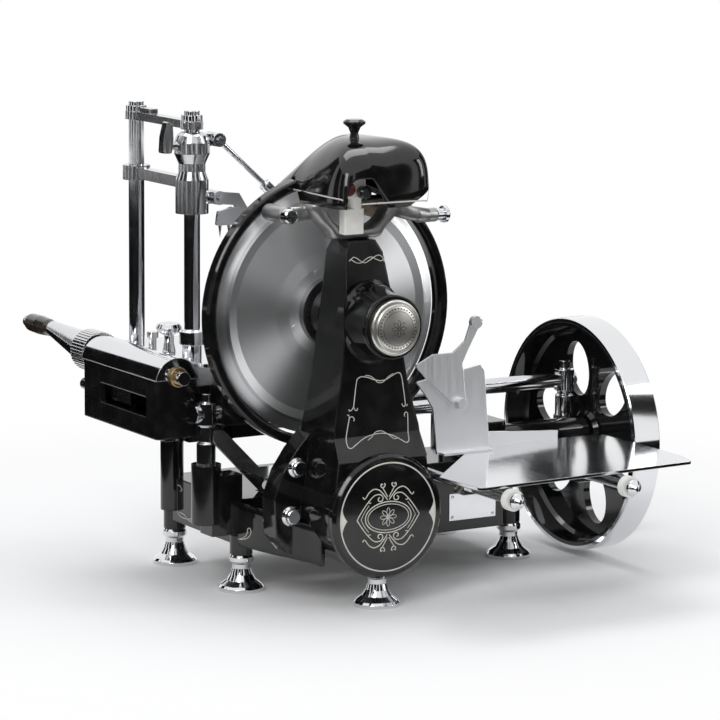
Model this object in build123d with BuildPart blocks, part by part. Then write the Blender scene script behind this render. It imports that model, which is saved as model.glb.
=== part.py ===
"""Hand crank meat slicer.

Millimetres, +Z up, +X the way the carriage travels towards the flywheel, -Y the
side that the slices fall to. The origin is on the floor, midway between the four
main feet.
"""
from build123d import *
from math import asin, atan2, cos, degrees, hypot, pi, radians, sin, sqrt, tan
import os

os.makedirs("parts", exist_ok=True)

# ------------------------------------------------------------ clearances
fit_gap = 0.05             # running fit between a shaft and its bore
side_gap = 0.3             # flanks that pass each other

# ------------------------------------------------------------ feet and base
foot_y = 71.5              # half spacing of the main feet along Y
front_foot_x = -76.0
front_foot_y = -196.0
foot_radius = 23.0
foot_height = 37.0
foot_neck_radius = 9.5
foot_collar_radius = 12.5
foot_rim = 3.5
foot_tap_radius = 3.4
foot_tap_depth = 16.0
leg_radius = 11.5
leg_rise = 20.0            # leg below its root in the casting

base_half_length = 168.0
foot_inset = 8.0
foot_x = base_half_length - foot_inset   # half spacing of the main feet along X
base_front = -76.0
base_back = 74.0
base_floor = 47.0
base_top = 93.0
base_wall = 12.0
base_top_wall = 8.0
base_corner = 14.0

gearbox_left = -120.0
gearbox_right = 122.0
gearbox_front = -125.0
gearbox_back = -62.5
gearbox_top = 120.0
gearbox_wall = 8.0
gearbox_back_wall = 5.0
gearbox_top_wall = 6.0
gearbox_raised_left = 75.0
gearbox_raised_top = 156.0

shaft_radius = 8.0
bush_wall = 3.0

# ------------------------------------------------------------ drive line
drive_y = -87.0            # flywheel and lay shafts
flywheel_z = 127.0
lay_z = 93.0
cross_x = -78.0            # cross shaft, column and blade centreline
gear_module = 2.0
spur_teeth = 17
spur_x = 95.0
spur_width = 12.0
bevel_teeth = 20
bevel_large = 17.5         # cone distances of the two ends along the axis
bevel_small = 10.5
bevel_hub_radius = 13.0
tooth_share = 0.40         # tooth thickness as a share of the pitch
addendum = 0.9
dedendum = 1.25
lay_left_clear = 3.0       # end of the lay shaft to the cross shaft

arm_radius = 18.0
arm_end = 239.0
arm_boss_x = 230.0

flywheel_x = 222.0
flywheel_width = 32.0
flywheel_radius = 122.5
flywheel_rim = 9.5
flywheel_web = 8.0
flywheel_hub_radius = 20.0
flywheel_hub_start = 242.0
flywheel_hub_end = 262.0
flywheel_holes = 6
flywheel_hole_centre = 68.0
flywheel_hole_length = 58.0
flywheel_hole_width = 40.0
crank_radius = 100.0
crank_angle = -15.0        # degrees above the +Y direction
crank_pin_radius = 6.0
crank_handle_radius = 12.0
crank_handle_length = 96.0
crank_boss_radius = 12.0
crank_boss_length = 8.0

disc_radius = 30.5         # crank disc that drives the rocker
disc_front = -61.5
disc_thickness = 5.5
disc_pin_radius = 4.0
disc_pin_throw = 26.0
disc_pin_gap = 0.6
rocker_pivot_z = 56.0
rocker_pivot_radius = 5.8
rocker_front = -52.0
rocker_thickness = 6.0
rocker_length = 135.0
rocker_half_width = 8.0
rocker_swing = degrees(asin(disc_pin_throw / (lay_z - rocker_pivot_z)))   # either side of upright
rocker_slot_near = 13.0
rocker_slot_far = 61.0
rocker_slot_width = 9.0
fork_slack = 4.6
fork_gap = 0.5
fork_thickness = 6.0
fork_wall = 8.5
fork_bottom = 140.0

# ------------------------------------------------------------ chain
chain_pitch = 9.525
chain_y = -165.0
chain_half = 3.0           # inner faces of the side links from the middle
chain_link = 1.2
chain_height = 8.0
chain_roller_radius = 2.4
sprocket_thickness = 5.2
drive_teeth = 30
blade_teeth = 12
sprocket_hub_radius = 12.5
sprocket_hub = 5.0

# ------------------------------------------------------------ column and covers
blade_z = 281.0
column_rear = -133.0
column_top = 359.0
column_top_half = 14.0
column_mid_z = 222.0
column_mid_half = 38.0
column_low_z = 178.0
column_low_half = 48.0
column_skirt_radius = 58.5
column_waist_half = 50.0
column_waist_z = 150.0
column_face_top = -168.0
column_face_hub = -186.0
column_face_mid = -194.0
column_face_low = -210.0
column_fillet = 6.0
column_cavity_rear = -158.0
column_cavity_front = -173.0
column_cavity_top_radius = 23.5
column_cavity_low_radius = 53.0
flange_left = -164.0
flange_front = -150.0
flange_right = 8.0
hub_boss_radius = 31.0
hub_boss_front = -228.0
hub_cap_radius = 27.5
hub_cap_dome = 10.0
cover_radius = 62.0
cover_front = -220.0
bearing_radius = 21.0
bearing_width = 11.0
rear_boss_radius = 30.0
rear_boss_back = -118.0
bolt_head_radius = 7.5
bolt_washer_radius = 10.0

# ------------------------------------------------------------ blade
blade_radius = 125.0
blade_back = -94.3
blade_hub_radius = 46.0
blade_hub_front = -104.0
blade_bore = 12.0
blade_shaft_radius = 10.0
blade_flange_radius = 35.0
blade_flange = 8.0
blade_shaft_front = -214.0
ring_front = -106.0
ring_back = -92.0
ring_clearance = 2.5       # blade edge to the ring
ring_width = 11.0
ring_inner = blade_radius + ring_clearance
ring_outer = ring_inner + ring_width
ring_foot_half = 30.0

# ------------------------------------------------------------ sharpener and hood
bracket_thickness = 24.0
bracket_rear = -136.0
bracket_height = 12.0
bracket_arm_top = 394.5
hood_left = -122.0
hood_right = -14.0
hood_front = -200.0
hood_back = -41.0
hood_bottom = 395.0
hood_top = 452.0
hood_wall = 3.0
hood_knob_y = -150.0
hood_knob_radius = 11.0
hood_knob_height = 24.0
guard_knob_y = -146.0
guard_left_x = -151.0
guard_left_z = 385.0
guard_right_x = 34.0
guard_right_z = 376.0
stone_radius = 9.2
stone_offset = 35.4        # stone spindles from the blade centreline
stone_length = 12.0
button_radius = 6.5

# ------------------------------------------------------------ rails
rail_radius = 8.0
front_rail_y = -68.0
front_rail_z = 182.0
front_rail_left = -212.0
front_rail_right = 241.0
front_post_left = -198.0
front_post_right = 230.0
rear_rail_y = 62.0
rear_rail_z = 140.0
rear_rail_left = -182.0
rear_rail_right = 172.0
rear_post_left = -168.0
rear_post_right = 160.0
post_boss_radius = 15.0
post_boss_top = 131.0
post_foot_radius = 9.5
post_foot_height = 21.0
post_radius = 7.5
saddle_radius = 10.3
saddle_below = 11.0
saddle_above = 11.0
post_screw_radius = 5.5
post_screw = 9.0
rail_nut_radius = 9.0
rail_nut = 2.5

# ------------------------------------------------------------ carriage
carriage_left = -247.0
carriage_right = -201.0
carriage_front = -57.0
carriage_back = 108.0
carriage_bottom = 157.0
carriage_top = 216.0
carriage_wall = 6.0
carriage_end_wall = 8.0
trough_floor = 172.0
window_front = -33.0
window_back = 67.0
window_bottom = 177.0
window_top = 197.0
saddle_plate_right = -50.0
saddle_plate_bottom = 200.0
saddle_plate_top = 208.0
saddle_plate_front = -55.0
saddle_plate_back = 88.0
front_block_left = -186.0
front_block_right = -120.0
front_block_half = 12.0
rear_block_left = -155.0
rear_block_right = -60.0
screw_x = -224.0
screw_z = 219.0
screw_radius = 5.0
cover_shell_radius = 24.0
cover_shell_wall = 4.0
bush_radius = 10.0
dial_radius = 21.5
dial_front = 112.0
dial_width = 28.0
dial_flutes = 40
crank_cone_end = 225.0
crank_cone_start_radius = 17.0
crank_cone_end_radius = 8.0
crank_cone_rise = 10.0
grip_pin_radius = 3.5
grip_radius = 10.0
grip_length = 58.0

# ------------------------------------------------------------ meat table and holder
table_left = -198.0
table_right = -50.0
table_front = -60.0
table_back = 115.0
table_top = 230.0
table_thickness = 4.0
nut_front = 18.0
nut_back = 60.0
guide_x = -187.0
guide_front_y = -18.0
guide_back_y = 103.0
guide_radius = 8.0
bridge_bottom = 460.0
bridge_thickness = 8.0
bridge_half = 6.5
guide_nut = 6.0
guide_stub = 4.0
guide_top = bridge_bottom + bridge_thickness + guide_nut + guide_stub
yoke_under_bridge = 3.0
yoke_top = bridge_bottom - yoke_under_bridge
yoke_low = yoke_top - 81.0
yoke_sleeve_top = yoke_top - 47.0
yoke_sleeve_radius = 16.5
yoke_bar_bottom = yoke_top - 57.0
yoke_bar_height = 11.0
yoke_bar_half = 6.0
rear_sleeve_radius = 14.0
rod_pivot_x = -163.0
rod_pivot_z = yoke_top - 8.0
rod_radius = 4.0
rod_length = 86.0
rod_angle = -42.0
ferrule_radius = 6.0
pusher_x = -163.0
pusher_z = yoke_top - 66.0

# ------------------------------------------------------------ receiving plate
plate_top = 141.0
plate_thickness = 3.0
plate_left = -52.0
plate_right = 213.0
plate_front = -345.0
plate_back = -165.0
plate_corner = 18.0
plate_rod_radius = 5.0
plate_rod_left = -18.0
plate_rod_right = 117.0
plate_rod_front = -352.0
plate_rod_z = 127.0
spacer_radius = 10.5
spacer_width = 8.0
acorn_radius = 8.0
deflector_y = -181.0
deflector_thickness = 2.5
deflector_left = 3.0
deflector_right = 63.0
deflector_top = 222.0
deflector_pivot_x = 25.0
deflector_pivot_z = 192.0
tray_left = -162.0
tray_right = -110.0
tray_front = -124.5
tray_back = -70.0
tray_thickness = 3.0


# ------------------------------------------------------------ shared shapes
def rod_x(y, z, radius, x0, x1, mode=Mode.ADD):
    """Cylinder along X between two stations."""
    with BuildSketch(Plane.YZ.offset(x0)) as face:
        with Locations((y, z)):
            Circle(radius)
    extrude(face.sketch, amount=x1 - x0, mode=mode)


def rod_y(x, z, radius, y0, y1, mode=Mode.ADD):
    """Cylinder along Y between two stations."""
    with BuildSketch(Plane.XZ.offset(-y1)) as face:
        with Locations((x, z)):
            Circle(radius)
    extrude(face.sketch, amount=y1 - y0, mode=mode)


def rod_z(x, y, radius, z0, z1, mode=Mode.ADD):
    """Cylinder along Z between two stations."""
    with BuildSketch(Plane.XY.offset(z0)) as face:
        with Locations((x, y)):
            Circle(radius)
    extrude(face.sketch, amount=z1 - z0, mode=mode)


def block(x0, x1, y0, y1, z0, z1, corner=0.0, mode=Mode.ADD):
    """Box between two corners, with rounded upright edges where asked."""
    with BuildSketch(Plane.XY.offset(z0)) as face:
        with Locations(((x0 + x1) / 2, (y0 + y1) / 2)):
            if corner > 0:
                RectangleRounded(x1 - x0, y1 - y0, corner)
            else:
                Rectangle(x1 - x0, y1 - y0)
    extrude(face.sketch, amount=z1 - z0, mode=mode)


def plate_xz(points, y0, y1, corner=0.0, mode=Mode.ADD):
    """Flat plate with an outline in X and Z, between two Y stations."""
    with BuildSketch(Plane.XZ.offset(-y1)) as face:
        with BuildLine():
            Polyline(*points, close=True)
        make_face()
        if corner > 0:
            fillet(face.vertices(), radius=corner)
    extrude(face.sketch, amount=y1 - y0, mode=mode)


def plate_yz(points, x0, x1, corner=0.0, mode=Mode.ADD):
    """Flat plate with an outline in Y and Z, between two X stations."""
    with BuildSketch(Plane.YZ.offset(x0)) as face:
        with BuildLine():
            Polyline(*points, close=True)
        make_face()
        if corner > 0:
            fillet(face.vertices(), radius=corner)
    extrude(face.sketch, amount=x1 - x0, mode=mode)


def plate_xy(points, z0, z1, corner=0.0, mode=Mode.ADD):
    """Flat plate with an outline in X and Y, between two heights."""
    with BuildSketch(Plane.XY.offset(z0)) as face:
        with BuildLine():
            Polyline(*points, close=True)
        make_face()
        if corner > 0:
            fillet(face.vertices(), radius=corner)
    extrude(face.sketch, amount=z1 - z0, mode=mode)


def turned_x(y, z, points, mode=Mode.ADD):
    """Turned shape along X from (x, radius) points."""
    section = Plane(origin=(0, y, z), x_dir=(1, 0, 0), z_dir=(0, -1, 0))
    with BuildSketch(section) as face:
        with BuildLine():
            Polyline(*points, close=True)
        make_face()
    revolve(face.sketch, axis=Axis((0, y, z), (1, 0, 0)), mode=mode)


def turned_y(x, z, points, mode=Mode.ADD):
    """Turned shape along Y from (radius, y) points."""
    section = Plane(origin=(x, 0, z), x_dir=(1, 0, 0), z_dir=(0, 0, 1))
    with BuildSketch(section) as face:
        with BuildLine():
            Polyline(*points, close=True)
        make_face()
    revolve(face.sketch, axis=Axis((x, 0, z), (0, 1, 0)), mode=mode)


def turned_z(x, y, points, mode=Mode.ADD):
    """Turned shape along Z from (radius, z) points."""
    section = Plane(origin=(x, y, 0), x_dir=(1, 0, 0), z_dir=(0, -1, 0))
    with BuildSketch(section) as face:
        with BuildLine():
            Polyline(*points, close=True)
        make_face()
    revolve(face.sketch, axis=Axis((x, y, 0), (0, 0, 1)), mode=mode)


def tangent_points(x, z0, r0, z1, r1):
    """Corners of the straight-sided part of a band round two circles."""
    slope = (r0 - r1) / (z1 - z0)
    side = sqrt(1 - slope * slope)
    return [
        (x - r0 * side, z0 + r0 * slope),
        (x + r0 * side, z0 + r0 * slope),
        (x + r1 * side, z1 + r1 * slope),
        (x - r1 * side, z1 + r1 * slope),
    ]


def band(x, z0, r0, z1, r1, y0, y1, mode=Mode.ADD):
    """Solid with the outline of a band round two circles."""
    with BuildSketch(Plane.XZ.offset(-y1)) as face:
        with Locations((x, z0)):
            Circle(r0)
        with Locations((x, z1)):
            Circle(r1)
        with BuildLine():
            Polyline(*tangent_points(x, z0, r0, z1, r1), close=True)
        make_face()
    extrude(face.sketch, amount=y1 - y0, mode=mode)


def gear_points(teeth, module, first_angle, scale=1.0):
    """Outline of a straight-flanked gear, one tooth centred at first_angle."""
    pitch_radius = teeth * module / 2
    tip_radius = pitch_radius + addendum * module
    root_radius = pitch_radius - dedendum * module
    step = 360 / teeth
    points = []
    for tooth in range(teeth):
        centre = first_angle + tooth * step
        for share, radius in (
            (-0.5 * (tooth_share + 0.16), root_radius),
            (-0.5 * (tooth_share - 0.16), tip_radius),
            (0.5 * (tooth_share - 0.16), tip_radius),
            (0.5 * (tooth_share + 0.16), root_radius),
        ):
            turn = radians(centre + share * step)
            points.append((radius * scale * cos(turn), radius * scale * sin(turn)))
    return points


def sprocket_points(teeth, first_angle):
    """Outline of a chain wheel with narrow teeth."""
    pitch_radius = chain_pitch / (2 * sin(pi / teeth))
    step = 360 / teeth
    points = []
    for tooth in range(teeth):
        centre = first_angle + tooth * step
        for share, radius in (
            (-0.30, pitch_radius - chain_roller_radius),
            (-0.10, pitch_radius + 1.6),
            (0.10, pitch_radius + 1.6),
            (0.30, pitch_radius - chain_roller_radius),
        ):
            turn = radians(centre + share * step)
            points.append((radius * cos(turn), radius * sin(turn)))
    return points


def pitch_circle(teeth):
    """Pitch radius of a chain wheel."""
    return chain_pitch / (2 * sin(pi / teeth))


def keep(name, builder):
    """Name a finished piece and write it."""
    builder.part.label = name
    export_step(builder.part, f"parts/{name}.step")


bore_radius = shaft_radius + fit_gap
bush_outer = shaft_radius + bush_wall
bush_hole = bush_outer + fit_gap
leg_places = [(x, y) for x in (-foot_x, foot_x) for y in (-foot_y, foot_y)]

# ============================================================ base casting
slot_half = (base_top - rocker_pivot_z) * tan(radians(rocker_swing)) + 14.0
slot_front = disc_front - 1.0
slot_back = rocker_front + rocker_thickness + 3.5
gearbox_inner_front = gearbox_front + gearbox_wall
gearbox_inner_back = gearbox_back - gearbox_back_wall
web_x = cross_x + 30.0
arm_boss_top = post_boss_top + 13.0
lug_y0 = front_rail_y - post_boss_radius + 2.0

with BuildPart() as base_casting:
    block(-base_half_length, base_half_length, base_front, base_back, base_floor, base_top, base_corner)
    for x, y in leg_places:
        rod_z(x, y, leg_radius, foot_height, foot_height + leg_rise)
    block(gearbox_left, gearbox_right, gearbox_front, gearbox_back, base_floor, gearbox_top, 6.0)
    block(gearbox_raised_left, gearbox_right, gearbox_front, gearbox_back, gearbox_top - 4, gearbox_raised_top, 6.0)
    rod_x(drive_y, flywheel_z, arm_radius, gearbox_right - 2, arm_end)
    rod_z(arm_boss_x, front_rail_y, post_foot_radius + 1.5, flywheel_z, arm_boss_top)
    block(front_post_left, -base_half_length + 4, lug_y0, base_front + 20, base_floor + 12, gearbox_top)
    for x0, x1 in ((rear_post_left, -base_half_length + 20), (base_half_length - 20, rear_post_right)):
        block(x0, x1, rear_rail_y - 8, rear_rail_y + 8, base_floor + 12, base_top - 4)
    rod_z(front_post_left, front_rail_y, post_boss_radius, base_floor + 24, post_boss_top)
    rod_z(rear_post_left, rear_rail_y, post_boss_radius - 3, base_floor + 12, post_boss_top)
    rod_z(rear_post_right, rear_rail_y, post_boss_radius - 3, base_floor + 12, post_boss_top)
    # underside left open
    block(
        -base_half_length + base_wall,
        base_half_length - base_wall,
        base_front + base_wall,
        base_back - base_wall,
        base_floor,
        base_top - base_top_wall,
        4.0,
        mode=Mode.SUBTRACT,
    )
    block(
        gearbox_left + gearbox_wall,
        web_x - 4,
        gearbox_inner_front,
        gearbox_inner_back,
        base_floor,
        gearbox_top - gearbox_top_wall,
        mode=Mode.SUBTRACT,
    )
    block(
        web_x + 4,
        gearbox_right - gearbox_wall,
        gearbox_inner_front,
        gearbox_inner_back,
        base_floor,
        gearbox_top - gearbox_top_wall,
        mode=Mode.SUBTRACT,
    )
    block(
        gearbox_raised_left + gearbox_wall,
        gearbox_right - gearbox_wall,
        gearbox_inner_front,
        gearbox_inner_back,
        gearbox_top - gearbox_top_wall - 2,
        gearbox_raised_top - gearbox_wall,
        mode=Mode.SUBTRACT,
    )
    # slot for the crank disc and the rocker
    block(
        cross_x - slot_half,
        cross_x + slot_half,
        slot_front,
        slot_back,
        base_floor + 20,
        gearbox_top + 1,
        mode=Mode.SUBTRACT,
    )
    # pivot stud of the rocker
    rod_y(cross_x, rocker_pivot_z, rocker_pivot_radius, base_front + 4, rocker_front + rocker_thickness + 2)
    # bores
    rod_x(drive_y, flywheel_z, bush_hole, gearbox_raised_left - 1, arm_end + 1, mode=Mode.SUBTRACT)
    rod_x(drive_y, lay_z, bush_hole, web_x - 5, web_x + 5, mode=Mode.SUBTRACT)
    rod_x(drive_y, lay_z, bush_hole, gearbox_right - gearbox_wall - 1, gearbox_right - 3, mode=Mode.SUBTRACT)
    rod_y(cross_x, lay_z, bush_hole, gearbox_front - 1, gearbox_inner_front + 1, mode=Mode.SUBTRACT)
    rod_y(cross_x, lay_z, bush_hole, gearbox_inner_back - 1, gearbox_back + 1, mode=Mode.SUBTRACT)
keep("base_casting", base_casting)

# ============================================================ feet
with BuildPart() as feet:
    for x, y in leg_places + [(front_foot_x, front_foot_y)]:
        turned_z(
            x,
            y,
            [
                (0, 0),
                (foot_radius, 0),
                (foot_radius, foot_rim),
                (foot_radius - 2, foot_rim + 2.5),
                (foot_radius - 8, foot_rim + 7),
                (foot_neck_radius + 2, foot_rim + 13),
                (foot_neck_radius, foot_rim + 19),
                (foot_neck_radius, foot_height - 10),
                (foot_collar_radius, foot_height - 7),
                (foot_collar_radius, foot_height - 3),
                (foot_neck_radius + 1, foot_height),
                (0, foot_height),
            ],
        )
        rod_z(x, y, foot_tap_radius, 0, foot_tap_depth, mode=Mode.SUBTRACT)
keep("feet", feet)

# ============================================================ gear column
with BuildPart() as gear_column:
    plate_xz(
        [
            (cross_x - column_top_half, column_top),
            (cross_x - column_top_half - 7, column_top - 12),
            (cross_x - 26, 305),
            (cross_x - column_mid_half, column_mid_z),
            (cross_x - column_low_half, column_low_z),
            (cross_x - column_waist_half, column_waist_z),
            (cross_x - column_skirt_radius + 2, lay_z),
            (cross_x + column_skirt_radius - 2, lay_z),
            (cross_x + column_waist_half, column_waist_z),
            (cross_x + column_low_half, column_low_z),
            (cross_x + column_mid_half, column_mid_z),
            (cross_x + 26, 305),
            (cross_x + column_top_half + 7, column_top - 12),
            (cross_x + column_top_half, column_top),
        ],
        column_face_low,
        column_rear,
    )
    rod_y(cross_x, lay_z, column_skirt_radius - 10, column_face_low, column_rear)
    with BuildSketch(Plane.XZ.offset(-column_rear)) as skirt:
        with Locations((cross_x, lay_z)):
            Circle(column_skirt_radius)
        with Locations((cross_x, foot_height - 20)):
            Rectangle(200, 40, mode=Mode.SUBTRACT)
    extrude(amount=column_rear - column_face_low)
    # front face leans back towards the top
    with BuildSketch(Plane.YZ.offset(cross_x - 120)) as side:
        with BuildLine():
            Polyline(
                (column_rear, foot_height - 5),
                (column_face_low, foot_height - 5),
                (column_face_low, lay_z + 55),
                (column_face_mid - 4, lay_z + 78),
                (column_face_mid, 195),
                (column_face_hub, blade_z),
                (column_face_top, column_top),
                (column_rear, column_top),
                close=True,
            )
        make_face()
    extrude(amount=240, mode=Mode.INTERSECT)
    fillet(gear_column.edges().filter_by(Axis.Y, reverse=True).group_by(Axis.Y)[0], radius=2.0)
    # flange that bolts to the gearbox
    plate_xz(
        [
            (flange_left + 14, 50),
            (flange_left, 68),
            (flange_left - 2, 106),
            (flange_left + 8, 132),
            (flange_left + 22, 152),
            (flange_left + 42, 174),
            (cross_x - column_low_half + 8, column_low_z + 4),
            (cross_x + column_low_half - 8, column_low_z + 4),
            (flange_right - 22, 166),
            (flange_right - 6, 148),
            (flange_right, 120),
            (flange_right, 50),
        ],
        flange_front,
        gearbox_front,
        corner=5.0,
    )
    rod_z(front_foot_x, front_foot_y, leg_radius, foot_height, foot_height + 8)
    rod_y(cross_x, blade_z, hub_boss_radius, hub_boss_front, column_face_top)
    rod_y(cross_x, blade_z, rear_boss_radius, column_rear, rear_boss_back)
    # chain chamber, open at the front behind the round cover
    band(
        cross_x,
        lay_z,
        column_cavity_low_radius,
        blade_z,
        column_cavity_top_radius,
        column_cavity_front,
        column_cavity_rear,
        mode=Mode.SUBTRACT,
    )
    rod_y(cross_x, lay_z, column_cavity_low_radius, column_face_low - 1, column_cavity_rear, mode=Mode.SUBTRACT)
    # shaft bores
    rod_y(cross_x, lay_z, bush_hole, column_cavity_rear - 1, gearbox_front + 1, mode=Mode.SUBTRACT)
    rod_y(cross_x, blade_z, blade_shaft_radius + 1.5, hub_boss_front + 2, rear_boss_back + 1, mode=Mode.SUBTRACT)
    rod_y(
        cross_x,
        blade_z,
        bearing_radius + fit_gap,
        hub_boss_front + 12,
        hub_boss_front + 12 + bearing_width + 2 * fit_gap,
        mode=Mode.SUBTRACT,
    )
    rod_y(
        cross_x,
        blade_z,
        bearing_radius + fit_gap,
        rear_boss_back - bearing_width - 2 * fit_gap,
        rear_boss_back + 1,
        mode=Mode.SUBTRACT,
    )
keep("gear_column", gear_column)

# ============================================================ covers and bearings
with BuildPart() as round_cover:
    turned_y(
        cross_x,
        lay_z,
        [
            (0, cover_front),
            (cover_radius - 3, cover_front),
            (cover_radius, cover_front + 3),
            (cover_radius, column_face_low),
            (column_cavity_low_radius - side_gap, column_face_low),
            (column_cavity_low_radius - side_gap, column_face_low + 3),
            (column_cavity_low_radius - 5, column_face_low + 3),
            (column_cavity_low_radius - 5, cover_front + 4),
            (0, cover_front + 4),
        ],
    )
keep("round_cover", round_cover)

with BuildPart() as hub_cap:
    turned_y(
        cross_x,
        blade_z,
        [
            (0, hub_boss_front - hub_cap_dome),
            (hub_cap_radius * 0.45, hub_boss_front - hub_cap_dome * 0.88),
            (hub_cap_radius * 0.75, hub_boss_front - hub_cap_dome * 0.65),
            (hub_cap_radius, hub_boss_front - hub_cap_dome * 0.3),
            (hub_cap_radius, hub_boss_front),
            (0, hub_boss_front),
        ],
    )
keep("hub_cap", hub_cap)

with BuildPart() as blade_bearings:
    for y0 in (hub_boss_front + 12 + fit_gap, rear_boss_back - bearing_width - fit_gap):
        rod_y(cross_x, blade_z, bearing_radius, y0, y0 + bearing_width)
        rod_y(cross_x, blade_z, blade_shaft_radius + fit_gap, y0 - 1, y0 + bearing_width + 1, mode=Mode.SUBTRACT)
keep("blade_bearings", blade_bearings)

with BuildPart() as shaft_bushes:
    for x0, x1, z in (
        (arm_end - 14, arm_end, flywheel_z),
        (gearbox_right - gearbox_wall, gearbox_right + 8, flywheel_z),
        (gearbox_raised_left, gearbox_raised_left + gearbox_wall, flywheel_z),
        (web_x - 4, web_x + 4, lay_z),
        (gearbox_right - gearbox_wall, gearbox_right - 3, lay_z),
    ):
        rod_x(drive_y, z, bush_outer, x0, x1)
        rod_x(drive_y, z, bore_radius, x0 - 1, x1 + 1, mode=Mode.SUBTRACT)
    for y0, y1 in (
        (column_cavity_rear, gearbox_inner_front),
        (gearbox_inner_back, gearbox_back),
    ):
        rod_y(cross_x, lay_z, bush_outer, y0, y1)
        rod_y(cross_x, lay_z, bore_radius, y0 - 1, y1 + 1, mode=Mode.SUBTRACT)
keep("shaft_bushes", shaft_bushes)

bolt_places = [
    (flange_left + 16, 88),
    (flange_left + 23, 136),
    (flange_right - 13, 88),
]
with BuildPart() as column_bolts:
    for x, z in bolt_places:
        turned_y(
            x,
            z,
            [
                (0, flange_front - 8),
                (bolt_head_radius - 1, flange_front - 8),
                (bolt_head_radius, flange_front - 7),
                (bolt_head_radius, flange_front - 3),
                (bolt_washer_radius - 2, flange_front - 2.5),
                (bolt_washer_radius, flange_front - 1),
                (bolt_washer_radius, flange_front),
                (0, flange_front),
            ],
        )
keep("column_bolts", column_bolts)

# ============================================================ rails and posts
with BuildPart() as front_rail:
    rod_x(front_rail_y, front_rail_z, rail_radius, front_rail_left, front_rail_right)
    rod_x(front_rail_y, front_rail_z, rail_nut_radius, front_rail_left, front_rail_left + rail_nut)
keep("front_rail", front_rail)

with BuildPart() as rear_rail:
    rod_x(rear_rail_y, rear_rail_z, rail_radius, rear_rail_left, rear_rail_right)
keep("rear_rail", rear_rail)

post_list = [
    (front_post_left, front_rail_y, post_boss_top, front_rail_z),
    (front_post_right, front_rail_y, arm_boss_top, front_rail_z),
]
with BuildPart() as rail_posts:
    for x, y, foot_z, rail_z in post_list:
        turned_z(
            x,
            y,
            [
                (0, foot_z),
                (post_foot_radius, foot_z),
                (post_foot_radius, foot_z + post_foot_height),
                (post_radius, foot_z + post_foot_height + 2),
                (post_radius, rail_z - saddle_below - 2),
                (saddle_radius, rail_z - saddle_below),
                (saddle_radius, rail_z + saddle_above),
                (post_screw_radius, rail_z + saddle_above + 1),
                (post_screw_radius, rail_z + saddle_above + post_screw),
                (0, rail_z + saddle_above + post_screw),
            ],
        )
        rod_x(y, rail_z, rail_radius + fit_gap, x - 20, x + 20, mode=Mode.SUBTRACT)
    for x in (rear_post_left, rear_post_right):
        rod_z(x, rear_rail_y, saddle_radius, post_boss_top, rear_rail_z + saddle_above)
        rod_x(rear_rail_y, rear_rail_z, rail_radius + fit_gap, x - 20, x + 20, mode=Mode.SUBTRACT)
keep("rail_posts", rail_posts)

# ============================================================ blade ring
with BuildPart() as blade_guard_ring:
    turned_y(
        cross_x,
        blade_z,
        [
            (ring_inner, ring_front + 3),
            (ring_inner + 3, ring_front),
            (ring_outer - 2, ring_front),
            (ring_outer, ring_front + 2),
            (ring_outer, ring_back - 1),
            (ring_outer - 1, ring_back),
            (ring_inner, ring_back),
        ],
    )
    block(
        cross_x - ring_foot_half,
        cross_x + ring_foot_half,
        ring_front,
        ring_back,
        gearbox_top,
        blade_z - ring_inner - 4,
    )
keep("blade_guard_ring", blade_guard_ring)

# ============================================================ sharpener bracket and guard knobs
bracket_front = bracket_rear - bracket_thickness
arm_hole_z = bracket_arm_top - 9.5
left_stone_x = cross_x - stone_offset
right_stone_x = cross_x + stone_offset
with BuildPart() as sharpener_bracket:
    plate_xz(
        [
            (cross_x - 26, column_top),
            (cross_x - 26, column_top + 4),
            (cross_x - 52, bracket_arm_top),
            (cross_x - 34, bracket_arm_top),
            (cross_x - 16, column_top + bracket_height),
            (cross_x + 16, column_top + bracket_height),
            (cross_x + 34, bracket_arm_top),
            (cross_x + 52, bracket_arm_top),
            (cross_x + 26, column_top + 4),
            (cross_x + 26, column_top),
        ],
        bracket_front,
        bracket_rear,
    )
    # barrels that carry the guard knobs
    plate_xz(
        [
            (cross_x - 44, bracket_arm_top - 2),
            (cross_x - 44, bracket_arm_top - 16),
            (guard_left_x, guard_left_z - 7),
            (guard_left_x, guard_left_z + 7),
        ],
        guard_knob_y + 1,
        guard_knob_y + 9,
    )
    rod_y(guard_left_x, guard_left_z, 8.5, guard_knob_y, guard_knob_y + 36)
    plate_xz(
        [
            (cross_x + 44, bracket_arm_top - 2),
            (cross_x + 44, bracket_arm_top - 16),
            (guard_right_x - 22, guard_right_z - 6),
            (guard_right_x - 22, guard_right_z + 8),
        ],
        guard_knob_y + 1,
        guard_knob_y + 9,
    )
    rod_x(guard_knob_y + 5, guard_right_z, 7.0, guard_right_x - 34, guard_right_x - 12)
    rod_y(guard_left_x, guard_left_z, 3 + fit_gap, guard_knob_y - 1, guard_knob_y + 20, mode=Mode.SUBTRACT)
    rod_x(guard_knob_y + 5, guard_right_z, 3 + fit_gap, guard_right_x - 26, guard_right_x - 11, mode=Mode.SUBTRACT)
    # holes for the stone spindles
    for x in (left_stone_x, right_stone_x):
        rod_y(x, arm_hole_z, 3.0, bracket_front - 1, bracket_rear + 1, mode=Mode.SUBTRACT)
keep("sharpener_bracket", sharpener_bracket)

with BuildPart() as guard_knob_left:
    turned_y(
        guard_left_x,
        guard_left_z,
        [
            (0, guard_knob_y - 10),
            (6, guard_knob_y - 10),
            (7.5, guard_knob_y - 8.5),
            (7.5, guard_knob_y - side_gap),
            (3, guard_knob_y - side_gap),
            (3, guard_knob_y + 18),
            (0, guard_knob_y + 18),
        ],
    )
keep("guard_knob_left", guard_knob_left)

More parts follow.
